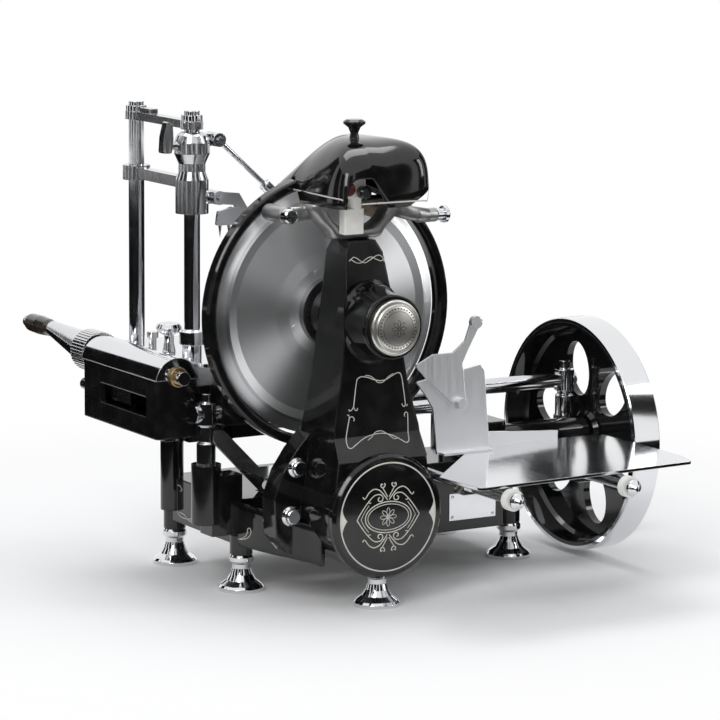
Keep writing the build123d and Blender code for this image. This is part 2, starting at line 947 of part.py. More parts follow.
with BuildPart() as guard_knob_right:
    turned_x(
        guard_knob_y + 5,
        guard_right_z,
        [
            (guard_right_x - 24, 0),
            (guard_right_x - 24, 3),
            (guard_right_x - 12 + side_gap, 3),
            (guard_right_x - 12 + side_gap, 6),
            (guard_right_x - 4, 6),
            (guard_right_x - 4, 8.5),
            (guard_right_x, 8.5),
            (guard_right_x + 2, 6),
            (guard_right_x + 2, 0),
        ],
    )
keep("guard_knob_right", guard_knob_right)

# ============================================================ stones under the hood
head_front = -176.0
with BuildPart() as stone_housing:
    block(cross_x - 23, cross_x - 1, bracket_front - 12, bracket_front, column_top + 7, column_top + 32, 2.0)
    rod_z(cross_x - 9, bracket_front - 7, 6.5, column_top + 31, column_top + 44)
    block(cross_x - 35, cross_x - 1, head_front, bracket_front, column_top + 43, column_top + 61, 3.0)
    for x, z in ((cross_x - 26.5, hood_bottom + 17), (cross_x - 8.5, hood_bottom + 13)):
        rod_y(x, z, 2.5 + fit_gap, head_front - 1, head_front + 10, mode=Mode.SUBTRACT)
keep("stone_housing", stone_housing)

for name, x, z in (
    ("grinding_button", cross_x - 26.5, hood_bottom + 17),
    ("honing_button", cross_x - 8.5, hood_bottom + 13),
):
    with BuildPart() as button:
        turned_y(
            x,
            z,
            [
                (0, head_front - 13),
                (button_radius - 2, head_front - 13),
                (button_radius, head_front - 11),
                (button_radius, head_front - 4.5),
                (2.5, head_front - 4.5),
                (2.5, head_front + 5),
                (0, head_front + 5),
            ],
        )
    keep(name, button)

for name, x in (("grinding_stone", left_stone_x), ("honing_stone", right_stone_x)):
    with BuildPart() as stone:
        turned_y(
            x,
            arm_hole_z,
            [
                (0, bracket_rear - 12),
                (3 - fit_gap, bracket_rear - 12),
                (3 - fit_gap, bracket_rear + 4),
                (stone_radius, bracket_rear + 6),
                (stone_radius, bracket_rear + 6 + stone_length),
                (0, bracket_rear + 6 + stone_length),
            ],
        )
    keep(name, stone)

# ============================================================ hood
def hood_block(inset):
    """Hood outline, smaller all round by the inset."""
    with BuildPart() as shape:
        plate_xz(
            [
                (hood_left + inset, hood_bottom - inset * 2),
                (hood_left + inset, hood_bottom + 9),
                (hood_left + 7 + inset, hood_bottom + 34 - inset),
                (hood_left + 20 + inset, hood_top - 9 - inset),
                (cross_x - 8, hood_top - inset),
                (cross_x + 22, hood_top - inset),
                (hood_right - 20 - inset, hood_top - 7 - inset),
                (hood_right - 5 - inset, hood_bottom + 34 - inset),
                (hood_right - inset, hood_bottom + 9),
                (hood_right - inset, hood_bottom - inset * 2),
            ],
            hood_front,
            hood_back,
        )
        with BuildSketch(Plane.YZ.offset(hood_left - 5)) as side:
            with BuildLine():
                Polyline(
                    (hood_front + inset, hood_bottom - inset * 2),
                    (hood_front + inset, hood_bottom + 8),
                    (hood_front + 22 + inset, hood_top - 16 - inset),
                    (hood_front + 36 + inset, hood_top - inset),
                    (hood_back - 26 - inset, hood_top - inset),
                    (hood_back - 8 - inset, hood_top - 14 - inset),
                    (hood_back - inset, hood_bottom + 8),
                    (hood_back - inset, hood_bottom - inset * 2),
                    close=True,
                )
            make_face()
        extrude(side.sketch, amount=hood_right - hood_left + 10, mode=Mode.INTERSECT)
    return shape.part


hood_outside = hood_block(0.0)
hood_inside = hood_block(hood_wall)

with BuildPart() as sharpener_hood:
    add(hood_outside)
    add(hood_inside, mode=Mode.SUBTRACT)
    # cross piece that stands on the bracket arms
    block(
        hood_left + 1,
        hood_right - 1,
        bracket_front + 3,
        bracket_rear - 3,
        bracket_arm_top + side_gap,
        hood_bottom + 4,
    )
    # notch for the buttons and slots for the ring
    block(
        cross_x - 38,
        cross_x + 2,
        hood_front - 1,
        head_front + 2,
        hood_bottom - 1,
        hood_bottom + 26,
        mode=Mode.SUBTRACT,
    )
    rod_y(cross_x, blade_z, ring_outer + 2, ring_front - 2, ring_back + 2, mode=Mode.SUBTRACT)
keep("sharpener_hood", sharpener_hood)

with BuildPart() as hood_knob:
    turned_z(
        cross_x,
        hood_knob_y,
        [
            (0, hood_top),
            (9, hood_top),
            (9, hood_top + 3),
            (5, hood_top + 5),
            (4, hood_top + 11),
            (6, hood_top + 16),
            (hood_knob_radius, hood_top + 20),
            (hood_knob_radius, hood_top + hood_knob_height - 2),
            (hood_knob_radius - 3, hood_top + hood_knob_height),
            (0, hood_top + hood_knob_height),
        ],
    )
keep("hood_knob", hood_knob)

# ============================================================ flywheel body
spindle_y = drive_y + crank_radius * cos(radians(crank_angle))
spindle_z = flywheel_z + crank_radius * sin(radians(crank_angle))
rim_inner = flywheel_radius - flywheel_rim
flywheel_back = flywheel_x + flywheel_width
web_front = flywheel_back - flywheel_web
with BuildPart() as flywheel:
    turned_x(
        drive_y,
        flywheel_z,
        [
            (flywheel_x, rim_inner + 1),
            (flywheel_x, flywheel_radius - 1),
            (flywheel_x + 1, flywheel_radius),
            (flywheel_back - 1, flywheel_radius),
            (flywheel_back, flywheel_radius - 1),
            (flywheel_back, flywheel_hub_radius),
            (flywheel_hub_end, flywheel_hub_radius - 2),
            (flywheel_hub_end, bore_radius),
            (flywheel_hub_start, bore_radius),
            (flywheel_hub_start, flywheel_hub_radius),
            (web_front, flywheel_hub_radius + 4),
            (web_front, rim_inner - 3),
            (web_front - 4, rim_inner),
        ],
    )
    with BuildSketch(Plane.YZ.offset(web_front - 6)) as openings:
        with Locations((drive_y, flywheel_z)):
            with PolarLocations(flywheel_hole_centre, flywheel_holes, start_angle=crank_angle + 180 / flywheel_holes):
                Ellipse(flywheel_hole_length / 2, flywheel_hole_width / 2)
    extrude(amount=flywheel_web + 12, mode=Mode.SUBTRACT)
    rod_x(spindle_y, spindle_z, crank_boss_radius, web_front, flywheel_back + crank_boss_length)
    rod_x(spindle_y, spindle_z, crank_pin_radius + fit_gap, web_front - 1, flywheel_back + 20, mode=Mode.SUBTRACT)
keep("flywheel", flywheel)

with BuildPart() as flywheel_shaft:
    rod_x(drive_y, flywheel_z, shaft_radius, gearbox_raised_left - 1, flywheel_hub_end + 2)
    rod_x(drive_y, flywheel_z, shaft_radius + 4, flywheel_hub_end, flywheel_hub_end + 6)
    with BuildSketch(Plane.YZ.offset(spur_x - spur_width / 2)) as teeth:
        with Locations((drive_y, flywheel_z)):
            with BuildLine():
                Polyline(*gear_points(spur_teeth, gear_module, -90), close=True)
            make_face()
    pinion_at = Pos(0, drive_y, flywheel_z)
    extrude(pinion_at * teeth.sketch, amount=spur_width)
keep("flywheel_shaft", flywheel_shaft)

handle_start = flywheel_back + crank_boss_length + side_gap
with BuildPart() as crank_spindle:
    rod_x(spindle_y, spindle_z, crank_pin_radius, web_front, handle_start + crank_handle_length + side_gap)
    rod_x(
        spindle_y,
        spindle_z,
        crank_pin_radius + 3,
        handle_start + crank_handle_length + side_gap,
        handle_start + crank_handle_length + 4,
    )
keep("crank_spindle", crank_spindle)

with BuildPart() as crank_handle:
    turned_x(
        spindle_y,
        spindle_z,
        [
            (handle_start, crank_pin_radius + fit_gap),
            (handle_start, crank_handle_radius - 2),
            (handle_start + 6, crank_handle_radius - 1),
            (handle_start + crank_handle_length * 0.45, crank_handle_radius + 2),
            (handle_start + crank_handle_length - 14, crank_handle_radius),
            (handle_start + crank_handle_length - 3, crank_handle_radius + 1),
            (handle_start + crank_handle_length, crank_handle_radius - 2),
            (handle_start + crank_handle_length, crank_pin_radius + fit_gap),
        ],
    )
keep("crank_handle", crank_handle)

# ============================================================ lay shaft and bevel gears
lay_left = cross_x + shaft_radius + lay_left_clear
with BuildPart() as lay_shaft:
    rod_x(drive_y, lay_z, shaft_radius, lay_left, gearbox_right - 3)
    with BuildSketch(Plane.YZ.offset(spur_x - spur_width / 2)) as teeth:
        with BuildLine():
            Polyline(*gear_points(spur_teeth, gear_module, 90 + 180 / spur_teeth), close=True)
        make_face()
    extrude(Pos(0, drive_y, lay_z) * teeth.sketch, amount=spur_width)
keep("lay_shaft", lay_shaft)

bevel_scale = bevel_small / bevel_large
bevel_module = 2 * bevel_large / bevel_teeth
with BuildPart() as bevel_pinion:
    with BuildSketch(Plane.YZ.offset(cross_x + bevel_small)) as near:
        with BuildLine():
            Polyline(*gear_points(bevel_teeth, bevel_module, 180 + 180 / bevel_teeth, bevel_scale), close=True)
        make_face()
    with BuildSketch(Plane.YZ.offset(cross_x + bevel_large)) as far:
        with BuildLine():
            Polyline(*gear_points(bevel_teeth, bevel_module, 180 + 180 / bevel_teeth), close=True)
        make_face()
    place = Pos(0, drive_y, lay_z)
    loft(sections=[(place * near.sketch).face(), (place * far.sketch).face()], ruled=True)
    rod_x(drive_y, lay_z, bevel_hub_radius, cross_x + bevel_large, web_x - 4 - side_gap)
    rod_x(drive_y, lay_z, bore_radius, cross_x, web_x, mode=Mode.SUBTRACT)
keep("bevel_pinion", bevel_pinion)

with BuildPart() as bevel_gear:
    with BuildSketch(Plane.XZ.offset(-drive_y + bevel_small)) as near:
        with BuildLine():
            Polyline(*gear_points(bevel_teeth, bevel_module, 0, bevel_scale), close=True)
        make_face()
    with BuildSketch(Plane.XZ.offset(-drive_y + bevel_large)) as far:
        with BuildLine():
            Polyline(*gear_points(bevel_teeth, bevel_module, 0), close=True)
        make_face()
    place = Pos(cross_x, 0, lay_z)
    loft(sections=[(place * near.sketch).face(), (place * far.sketch).face()], ruled=True)
    bevel_back = drive_y - bevel_large
    rod_y(cross_x, lay_z, bevel_hub_radius, gearbox_inner_front + side_gap, bevel_back)
    rod_y(cross_x, lay_z, bore_radius, gearbox_inner_front - 1, drive_y, mode=Mode.SUBTRACT)
keep("bevel_gear", bevel_gear)

with BuildPart() as cross_shaft:
    rod_y(cross_x, lay_z, shaft_radius, chain_y - sprocket_thickness / 2 - 9, disc_front + disc_thickness)
    rod_y(
        cross_x,
        lay_z,
        shaft_radius + 3,
        chain_y - sprocket_thickness / 2 - 6,
        chain_y - sprocket_thickness / 2,
    )
keep("cross_shaft", cross_shaft)

# ============================================================ chain drive
for name, teeth_count, z, bore, hub_end in (
    ("drive_sprocket", drive_teeth, lay_z, bore_radius, column_cavity_rear - side_gap),
    ("blade_sprocket", blade_teeth, blade_z, blade_shaft_radius + fit_gap, column_cavity_rear - side_gap),
):
    with BuildPart() as sprocket:
        with BuildSketch(Plane.XZ.offset(-chain_y - sprocket_thickness / 2)) as teeth:
            with BuildLine():
                Polyline(*sprocket_points(teeth_count, 90), close=True)
            make_face()
        extrude(Pos(cross_x, 0, z) * teeth.sketch, amount=sprocket_thickness)
        rod_y(cross_x, z, sprocket_hub_radius, chain_y, hub_end)
        rod_y(cross_x, z, bore, chain_y - 10, hub_end + 5, mode=Mode.SUBTRACT)
    keep(name, sprocket)

drive_pitch_radius = pitch_circle(drive_teeth)
blade_pitch_radius = pitch_circle(blade_teeth)
chain_low_right, chain_high_right = tangent_points(
    cross_x, lay_z, drive_pitch_radius, blade_z, blade_pitch_radius
)[1:3]
strand = hypot(chain_high_right[0] - chain_low_right[0], chain_high_right[1] - chain_low_right[1])
roller_first = sqrt(8.8 * drive_pitch_radius + 20)
roller_last = strand - sqrt(8.8 * blade_pitch_radius + 20)
roller_count = int((roller_last - roller_first) / chain_pitch) + 1
half_link = chain_height / 2
with BuildPart() as drive_chain:
    for y0 in (chain_y - chain_half - chain_link, chain_y + chain_half):
        band(
            cross_x,
            lay_z,
            drive_pitch_radius + half_link,
            blade_z,
            blade_pitch_radius + half_link,
            y0,
            y0 + chain_link,
        )
    band(
        cross_x,
        lay_z,
        drive_pitch_radius - half_link,
        blade_z,
        blade_pitch_radius - half_link,
        chain_y - chain_half - 2 * chain_link,
        chain_y + chain_half + 2 * chain_link,
        mode=Mode.SUBTRACT,
    )
    for number in range(roller_count):
        share = (roller_first + number * chain_pitch) / strand
        side = chain_low_right[0] + (chain_high_right[0] - chain_low_right[0]) * share - cross_x
        height = chain_low_right[1] + (chain_high_right[1] - chain_low_right[1]) * share
        for x in (cross_x - side, cross_x + side):
            rod_y(x, height, chain_roller_radius, chain_y - chain_half - 0.5, chain_y + chain_half + 0.5)
keep("drive_chain", drive_chain)

# ============================================================ crank disc and rocker
swing = radians(rocker_swing)
pivot_offset = lay_z - rocker_pivot_z
pin_reach = sqrt(pivot_offset**2 - disc_pin_throw**2)
disc_pin_x = cross_x - pin_reach * sin(swing)
disc_pin_z = rocker_pivot_z + pin_reach * cos(swing)
with BuildPart() as crank_disc:
    rod_y(cross_x, lay_z, disc_radius, disc_front, disc_front + disc_thickness)
    rod_y(disc_pin_x, disc_pin_z, disc_pin_radius, disc_front, rocker_front - disc_pin_gap)
    rod_y(cross_x, lay_z, bore_radius, disc_front - 1, disc_front + disc_thickness + 1, mode=Mode.SUBTRACT)
keep("crank_disc", crank_disc)

fork_front = rocker_front + rocker_thickness + fork_gap
rocker_plane = Plane(
    origin=(cross_x, rocker_front + rocker_thickness, rocker_pivot_z),
    x_dir=(-sin(swing), 0, cos(swing)),
    z_dir=(0, -1, 0),
)
with BuildPart() as rocker_lever:
    with BuildSketch(rocker_plane) as outline:
        with Locations((rocker_length / 2, 0)):
            SlotCenterToCenter(rocker_length, 2 * rocker_half_width)
        with Locations(((rocker_slot_near + rocker_slot_far) / 2, 0)):
            SlotCenterToCenter(
                rocker_slot_far - rocker_slot_near,
                rocker_slot_width,
                mode=Mode.SUBTRACT,
            )
        Circle(rocker_pivot_radius + fit_gap, mode=Mode.SUBTRACT)
    extrude(amount=rocker_thickness)
    with BuildSketch(rocker_plane) as pin:
        with Locations((rocker_length, 0)):
            Circle(disc_pin_radius)
    extrude(amount=-(fork_gap + fork_thickness + 1))
keep("rocker_lever", rocker_lever)

# ============================================================ blade
with BuildPart() as blade:
    turned_y(
        cross_x,
        blade_z,
        [
            (blade_bore, blade_back - 3),
            (blade_radius * 0.5, blade_back - 3),
            (blade_radius * 0.95, blade_back - 0.5),
            (blade_radius, blade_back),
            (blade_radius, blade_back - 0.4),
            (blade_radius - 13, blade_back - 7),
            (blade_radius - 22, blade_back - 5.5),
            (blade_hub_radius + 14, blade_back - 8),
            (blade_hub_radius, blade_hub_front),
            (blade_bore, blade_hub_front),
        ],
    )
    with BuildSketch(Plane.XZ.offset(-blade_hub_front)) as heads:
        with Locations((cross_x, blade_z)):
            with PolarLocations(blade_flange_radius + 6.5, 4, start_angle=110):
                Circle(3.2)
    extrude(amount=1.6)
keep("blade", blade)

with BuildPart() as blade_shaft:
    rod_y(cross_x, blade_z, blade_shaft_radius, blade_shaft_front, blade_hub_front)
    rod_y(cross_x, blade_z, blade_flange_radius, blade_hub_front - blade_flange, blade_hub_front)
    rod_y(cross_x, blade_z, blade_bore - fit_gap, blade_hub_front, blade_back - 3)
keep("blade_shaft", blade_shaft)

# ============================================================ carriage
rocker_pin_x = cross_x - rocker_length * sin(swing)
fork_half = disc_pin_radius + fork_slack
block_top = saddle_plate_bottom + 2
with BuildPart() as carriage:
    block(carriage_left, carriage_right, carriage_front, carriage_back, carriage_bottom, carriage_top, 5.0)
    block(
        carriage_right - 6,
        saddle_plate_right,
        saddle_plate_front,
        saddle_plate_back,
        saddle_plate_bottom,
        saddle_plate_top,
        4.0,
    )
    block(
        front_block_left,
        front_block_right,
        front_rail_y - front_block_half,
        front_rail_y + front_block_half,
        front_rail_z - front_block_half,
        block_top + 4,
        2.0,
    )
    block(
        front_block_left,
        front_block_right,
        front_rail_y - front_block_half,
        saddle_plate_front + 6,
        saddle_plate_bottom,
        saddle_plate_top,
        2.0,
    )
    block(
        rear_block_left,
        rear_block_right,
        rear_rail_y - front_block_half,
        rear_rail_y + front_block_half,
        rear_rail_z - front_block_half + 1,
        block_top,
        2.0,
    )
    block(
        rocker_pin_x - fork_half - fork_wall,
        rocker_pin_x + fork_half + fork_wall,
        fork_front,
        fork_front + fork_thickness,
        fork_bottom,
        saddle_plate_bottom + 2,
    )
    rod_y(carriage_left + 10, carriage_bottom + 30, 6, carriage_back - 2, carriage_back + 15)
    # screw trough and the window in its outer wall
    block(
        carriage_left + carriage_wall,
        carriage_right - carriage_wall,
        carriage_front + carriage_end_wall,
        carriage_back - carriage_end_wall,
        trough_floor,
        carriage_top + 1,
        mode=Mode.SUBTRACT,
    )
    block(
        carriage_left - 1,
        carriage_left + carriage_wall + 1,
        window_front,
        window_back,
        window_bottom,
        window_top,
        mode=Mode.SUBTRACT,
    )
    rod_y(screw_x, screw_z, bush_radius + fit_gap, carriage_front - 1, carriage_back + 1, mode=Mode.SUBTRACT)
    rod_x(
        front_rail_y,
        front_rail_z,
        rail_radius + fit_gap,
        front_block_left - 1,
        front_block_right + 1,
        mode=Mode.SUBTRACT,
    )
    rod_x(
        rear_rail_y,
        rear_rail_z,
        rail_radius + fit_gap,
        rear_block_left - 1,
        rear_block_right + 1,
        mode=Mode.SUBTRACT,
    )
    block(
        rocker_pin_x - fork_half,
        rocker_pin_x + fork_half,
        fork_front - 1,
        fork_front + fork_thickness + 1,
        fork_bottom - 1,
        saddle_plate_bottom - 1,
        mode=Mode.SUBTRACT,
    )
keep("carriage", carriage)

shell_z = carriage_top - 2
with BuildPart() as screw_cover:
    rod_y(screw_x, shell_z, cover_shell_radius, carriage_front, carriage_back)
    rod_y(
        screw_x,
        shell_z,
        cover_shell_radius - cover_shell_wall,
        carriage_front + 4,
        carriage_back - 4,
        mode=Mode.SUBTRACT,
    )
    rod_y(screw_x, screw_z, bush_radius + fit_gap, carriage_front - 1, carriage_back + 1, mode=Mode.SUBTRACT)
    block(
        screw_x - 40,
        screw_x + 40,
        carriage_front - 1,
        carriage_back + 1,
        shell_z - 40,
        carriage_top,
        mode=Mode.SUBTRACT,
    )
    # way for the nut arm
    block(
        screw_x + 8,
        screw_x + 40,
        nut_front - 18,
        nut_back + 40,
        carriage_top - 1,
        table_top - 0.5,
        mode=Mode.SUBTRACT,
    )
keep("screw_cover", screw_cover)

with BuildPart() as feed_bush:
    for y0, y1 in ((carriage_front - 4, carriage_front + 8), (carriage_back - 8, carriage_back + 2)):
        rod_y(screw_x, screw_z, bush_radius, y0, y1)
        rod_y(screw_x, screw_z, screw_radius + fit_gap, y0 - 1, y1 + 1, mode=Mode.SUBTRACT)
keep("feed_bush", feed_bush)

dial_back = dial_front + dial_width
with BuildPart() as feed_screw:
    rod_y(screw_x, screw_z, screw_radius, carriage_front - 5, dial_back - 4)
    rod_y(screw_x, screw_z, screw_radius + 2, carriage_front - 14, carriage_front - 4 - side_gap)
keep("feed_screw", feed_screw)

with BuildPart() as feed_dial:
    with BuildSketch(Plane.XZ.offset(-dial_back)) as knurl:
        with Locations((screw_x, screw_z)):
            Circle(dial_radius)
            with PolarLocations(dial_radius + 0.4, dial_flutes):
                Circle(1.0, mode=Mode.SUBTRACT)
    extrude(amount=dial_width)
    with BuildSketch(Plane.XZ.offset(-dial_back)) as cone_start:
        with Locations((screw_x, screw_z)):
            Circle(crank_cone_start_radius)
    with BuildSketch(Plane.XZ.offset(-crank_cone_end)) as cone_end:
        with Locations((screw_x, screw_z + crank_cone_rise)):
            Circle(crank_cone_end_radius)
    loft(sections=[cone_start.sketch.face(), cone_end.sketch.face()])
    rod_y(
        screw_x,
        screw_z + crank_cone_rise,
        grip_pin_radius,
        crank_cone_end - 1,
        crank_cone_end + grip_length + 2,
    )
    rod_y(
        screw_x,
        screw_z + crank_cone_rise,
        grip_pin_radius + 2.5,
        crank_cone_end + grip_length + 1,
        crank_cone_end + grip_length + 4,
    )
    rod_y(screw_x, screw_z, screw_radius + fit_gap, dial_front - 1, dial_back - 4 + fit_gap, mode=Mode.SUBTRACT)
keep("feed_dial", feed_dial)

with BuildPart() as feed_grip:
    turned_y(
        screw_x,
        screw_z + crank_cone_rise,
        [
            (grip_pin_radius + fit_gap, crank_cone_end + side_gap),
            (grip_radius - 3, crank_cone_end + side_gap),
            (grip_radius - 1, crank_cone_end + 8),
            (grip_radius, crank_cone_end + 28),
            (grip_radius - 0.5, crank_cone_end + grip_length - 8),
            (grip_radius - 3, crank_cone_end + grip_length),
            (grip_pin_radius + fit_gap, crank_cone_end + grip_length),
        ],
    )
keep("feed_grip", feed_grip)

# ============================================================ meat table and holder
with BuildPart() as meat_table:
    block(table_left, table_right, table_front, table_back, table_top - table_thickness, table_top, 8.0)
    block(-150, -90, -45, 80, saddle_plate_top, table_top - table_thickness)
    block(screw_x - 14, screw_x + 10, nut_front, nut_back, trough_floor + 8, screw_z + 6)
    block(screw_x + 8, table_left + 4, nut_front + 4, nut_back - 4, screw_z, table_top - 1)
    rod_z(-188, 66, 4, table_top - 1, table_top + 10)
    rod_z(-188, 66, 6, table_top + 9, table_top + 15)
    rod_y(screw_x, screw_z, screw_radius + fit_gap, nut_front - 1, nut_back + 1, mode=Mode.SUBTRACT)
    rod_z(-190, 26, 4 + fit_gap, table_top - table_thickness - 1, table_top + 1, mode=Mode.SUBTRACT)
keep("meat_table", meat_table)

with BuildPart() as table_knob:
    turned_z(
        -190,
        26,
        [
            (0, table_top - table_thickness),
            (4, table_top - table_thickness),
            (4, table_top + side_gap),
            (7, table_top + side_gap),
            (5, table_top + 10),
            (5, table_top + 17),
            (12, table_top + 21),
            (13.5, table_top + 25),
            (11, table_top + 29),
            (0, table_top + 31),
        ],
    )
keep("table_knob", table_knob)

with BuildPart() as guide_columns:
    for y in (guide_front_y, guide_back_y):
        rod_z(guide_x, y, guide_radius, table_top, guide_top)
    turned_z(
        guide_x,
        guide_front_y,
        [
            (guide_radius - 1, table_top),
            (guide_radius + 2, table_top),
            (guide_radius + 2, table_top + 13),
            (guide_radius + 5, table_top + 14),
            (guide_radius + 5, table_top + 27),
            (guide_radius + 2, table_top + 29),
            (guide_radius - 1, table_top + 29),
        ],
    )
keep("guide_columns", guide_columns)

with BuildPart() as column_bridge:
    block(
        guide_x - bridge_half,
        guide_x + bridge_half,
        guide_front_y - 12,
        guide_back_y + 12,
        bridge_bottom,
        bridge_bottom + bridge_thickness,
        4.0,
    )
    for y in (guide_front_y, guide_back_y):
        rod_z(guide_x, y, guide_radius + 3.5, bridge_bottom, bridge_bottom + bridge_thickness)
    block(guide_x - 5, guide_x + 5, guide_back_y - 40, guide_back_y - 16, bridge_bottom + 6, bridge_bottom + 13, 2.0)
    for y in (guide_front_y, guide_back_y):
        rod_z(
            guide_x,
            y,
            guide_radius + fit_gap,
            bridge_bottom - 1,
            bridge_bottom + bridge_thickness + 1,
            mode=Mode.SUBTRACT,
        )
keep("column_bridge", column_bridge)

nut_low = bridge_bottom + bridge_thickness
with BuildPart() as bridge_nuts:
    for y in (guide_front_y, guide_back_y):
        rod_z(guide_x, y, guide_radius + 3, nut_low, nut_low + guide_nut)
        rod_z(guide_x, y, guide_radius + fit_gap, nut_low - 1, nut_low + guide_nut + 1, mode=Mode.SUBTRACT)
keep("bridge_nuts", bridge_nuts)

pin_front = guide_front_y - 14
with BuildPart() as holder_yoke:
    turned_z(
        guide_x,
        guide_front_y,
        [
            (0, yoke_low),
            (yoke_sleeve_radius, yoke_low),
            (yoke_sleeve_radius, yoke_sleeve_top),
            (13.5, yoke_sleeve_top + 8),
            (13.5, yoke_sleeve_top + 16),
            (18, yoke_sleeve_top + 26),
            (18, yoke_top - 10),
            (15, yoke_top - 3),
            (11, yoke_top),
            (0, yoke_top),
        ],
    )
    block(
        guide_x - yoke_bar_half,
        guide_x + yoke_bar_half,
        guide_front_y,
        guide_back_y,
        yoke_bar_bottom,
        yoke_bar_bottom + yoke_bar_height,
    )
    rod_z(guide_x, guide_back_y, rear_sleeve_radius, yoke_bar_bottom - 2, yoke_bar_bottom + yoke_bar_height + 2)
    for x, z in ((rod_pivot_x, rod_pivot_z), (pusher_x, pusher_z)):
        rod_y(x, z, 7.0, pin_front + 6, guide_front_y + 8)
        block(guide_x + 11, x, pin_front + 6, guide_front_y + 8, z - 6, z + 6)
        rod_y(x, z, 3.0, pin_front - 3, guide_front_y)
    for y, z0, z1 in (
        (guide_front_y, yoke_low, yoke_top),
        (guide_back_y, yoke_bar_bottom - 2, yoke_bar_bottom + yoke_bar_height + 2),
    ):
        rod_z(guide_x, y, guide_radius + fit_gap, z0 - 1, z1 + 1, mode=Mode.SUBTRACT)
    rod_x(guide_front_y, yoke_top - 13, 4 + fit_gap, guide_x - 20, guide_x - 11, mode=Mode.SUBTRACT)
keep("holder_yoke", holder_yoke)

with BuildPart() as clamp_lever:
    rod_x(guide_front_y, yoke_top - 13, 4, guide_x - 34, guide_x - 11.5)
    plate_xz(
        [
            (guide_x - 35, yoke_top - 20),
            (guide_x - 25, yoke_top - 20),
            (guide_x - 23, yoke_top - 6),
            (guide_x - 24, yoke_top + 9),
            (guide_x - 30, yoke_top + 12),
            (guide_x - 34, yoke_top - 4),
        ],
        guide_front_y - 5,
        guide_front_y + 5,
        corner=2.0,
    )
keep("clamp_lever", clamp_lever)

rod_y_mid = pin_front + 3
rod_turn = radians(rod_angle)
rod_dir = (cos(rod_turn), 0, sin(rod_turn))
with BuildPart() as press_rod:
    rod_y(rod_pivot_x, rod_pivot_z, 7.0, pin_front, pin_front + 6 - side_gap)
    with BuildSketch(Plane(origin=(rod_pivot_x, rod_y_mid, rod_pivot_z), x_dir=(0, 1, 0), z_dir=rod_dir)):
        Circle(2.6)
    extrude(amount=rod_length)
    ferrule_from = rod_length - 16
    ferrule_at = (
        rod_pivot_x + ferrule_from * rod_dir[0],
        rod_y_mid,
        rod_pivot_z + ferrule_from * rod_dir[2],
    )
    with BuildSketch(Plane(origin=ferrule_at, x_dir=(0, 1, 0), z_dir=rod_dir)):
        Circle(ferrule_radius)
    extrude(amount=9)
    rod_y(rod_pivot_x, rod_pivot_z, 3 + fit_gap, pin_front - 4, pin_front + 8, mode=Mode.SUBTRACT)
keep("press_rod", press_rod)

with BuildPart() as pusher_arm:
    rod_y(pusher_x, pusher_z, 7.0, pin_front, pin_front + 6 - side_gap)
    plate_xz(
        [
            (pusher_x - 2, pusher_z - 6),
            (pusher_x + 3, pusher_z + 6),
            (pusher_x + 22, pusher_z + 4),
            (pusher_x + 32, pusher_z - 12),
            (pusher_x + 30, pusher_z - 22),
            (pusher_x + 22, pusher_z - 18),
            (pusher_x + 18, pusher_z - 8),
        ],
        pin_front,
        pin_front + 6 - side_gap,
        corner=1.5,
    )
    rod_y(pusher_x, pusher_z, 3 + fit_gap, pin_front - 4, pin_front + 8, mode=Mode.SUBTRACT)
keep("pusher_arm", pusher_arm)

spike_back = pin_front
with BuildPart() as spike_plate:
    plate_xz(
        [
            (pusher_x - 6, pusher_z - 27),
            (pusher_x - 4, pusher_z - 13),
            (pusher_x + 12, pusher_z - 9),
            (pusher_x + 33, pusher_z - 13),
            (pusher_x + 33, pusher_z - 27),
        ],
        spike_back - 4,
        spike_back,
        corner=2.0,
    )
    for x in (pusher_x - 1, pusher_x + 9, pusher_x + 19, pusher_x + 29):
        turned_z(
            x,
            spike_back - 2,
            [(0, pusher_z - 40), (1.8, pusher_z - 27), (1.8, pusher_z - 25), (0, pusher_z - 25)],
        )
keep("spike_plate", spike_plate)

# ============================================================ receiving side
plate_bottom = plate_top - plate_thickness
with BuildPart() as receiving_plate:
    plate_xy(
        [
            (plate_left, plate_front),
            (plate_right - 8, plate_front + 14),
            (plate_right, plate_front + 40),
            (plate_right, plate_back - 50),
            (plate_right - 4, plate_back),
            (deflector_right - 10, plate_back),
            (plate_left - 5, plate_front + 66),
        ],
        plate_bottom,
        plate_top,
        corner=6.0,
    )
    plate_xz(
        [
            (deflector_right - 8, plate_top - 1),
            (deflector_right - 8, plate_top + 16),
            (deflector_right + 92, plate_top + 9),
            (deflector_right + 92, plate_top - 1),
        ],
        plate_back - plate_thickness,
        plate_back,
        corner=0.4,
    )
    # lugs that sit on the two rods
    for x in (plate_rod_left, plate_rod_right):
        block(x - 8, x + 8, plate_front + 70, plate_front + 88, plate_rod_z - 8, plate_bottom + 1)
        rod_y(
            x,
            plate_rod_z,
            plate_rod_radius + fit_gap,
            plate_front + 60,
            plate_front + 100,
            mode=Mode.SUBTRACT,
        )
keep("receiving_plate", receiving_plate)

with BuildPart() as plate_rods:
    rod_y(plate_rod_left, plate_rod_z, plate_rod_radius, plate_rod_front - 5, flange_front)
    rod_y(plate_rod_right, plate_rod_z, plate_rod_radius, plate_rod_front - 5, gearbox_front)
keep("plate_rods", plate_rods)

with BuildPart() as plate_spacers:
    for x in (plate_rod_left, plate_rod_right):
        rod_y(x, plate_rod_z, spacer_radius, plate_rod_front, plate_rod_front + spacer_width)
        rod_y(
            x,
            plate_rod_z,
            plate_rod_radius + fit_gap,
            plate_rod_front - 1,
            plate_rod_front + spacer_width + 1,
            mode=Mode.SUBTRACT,
        )
keep("plate_spacers", plate_spacers)

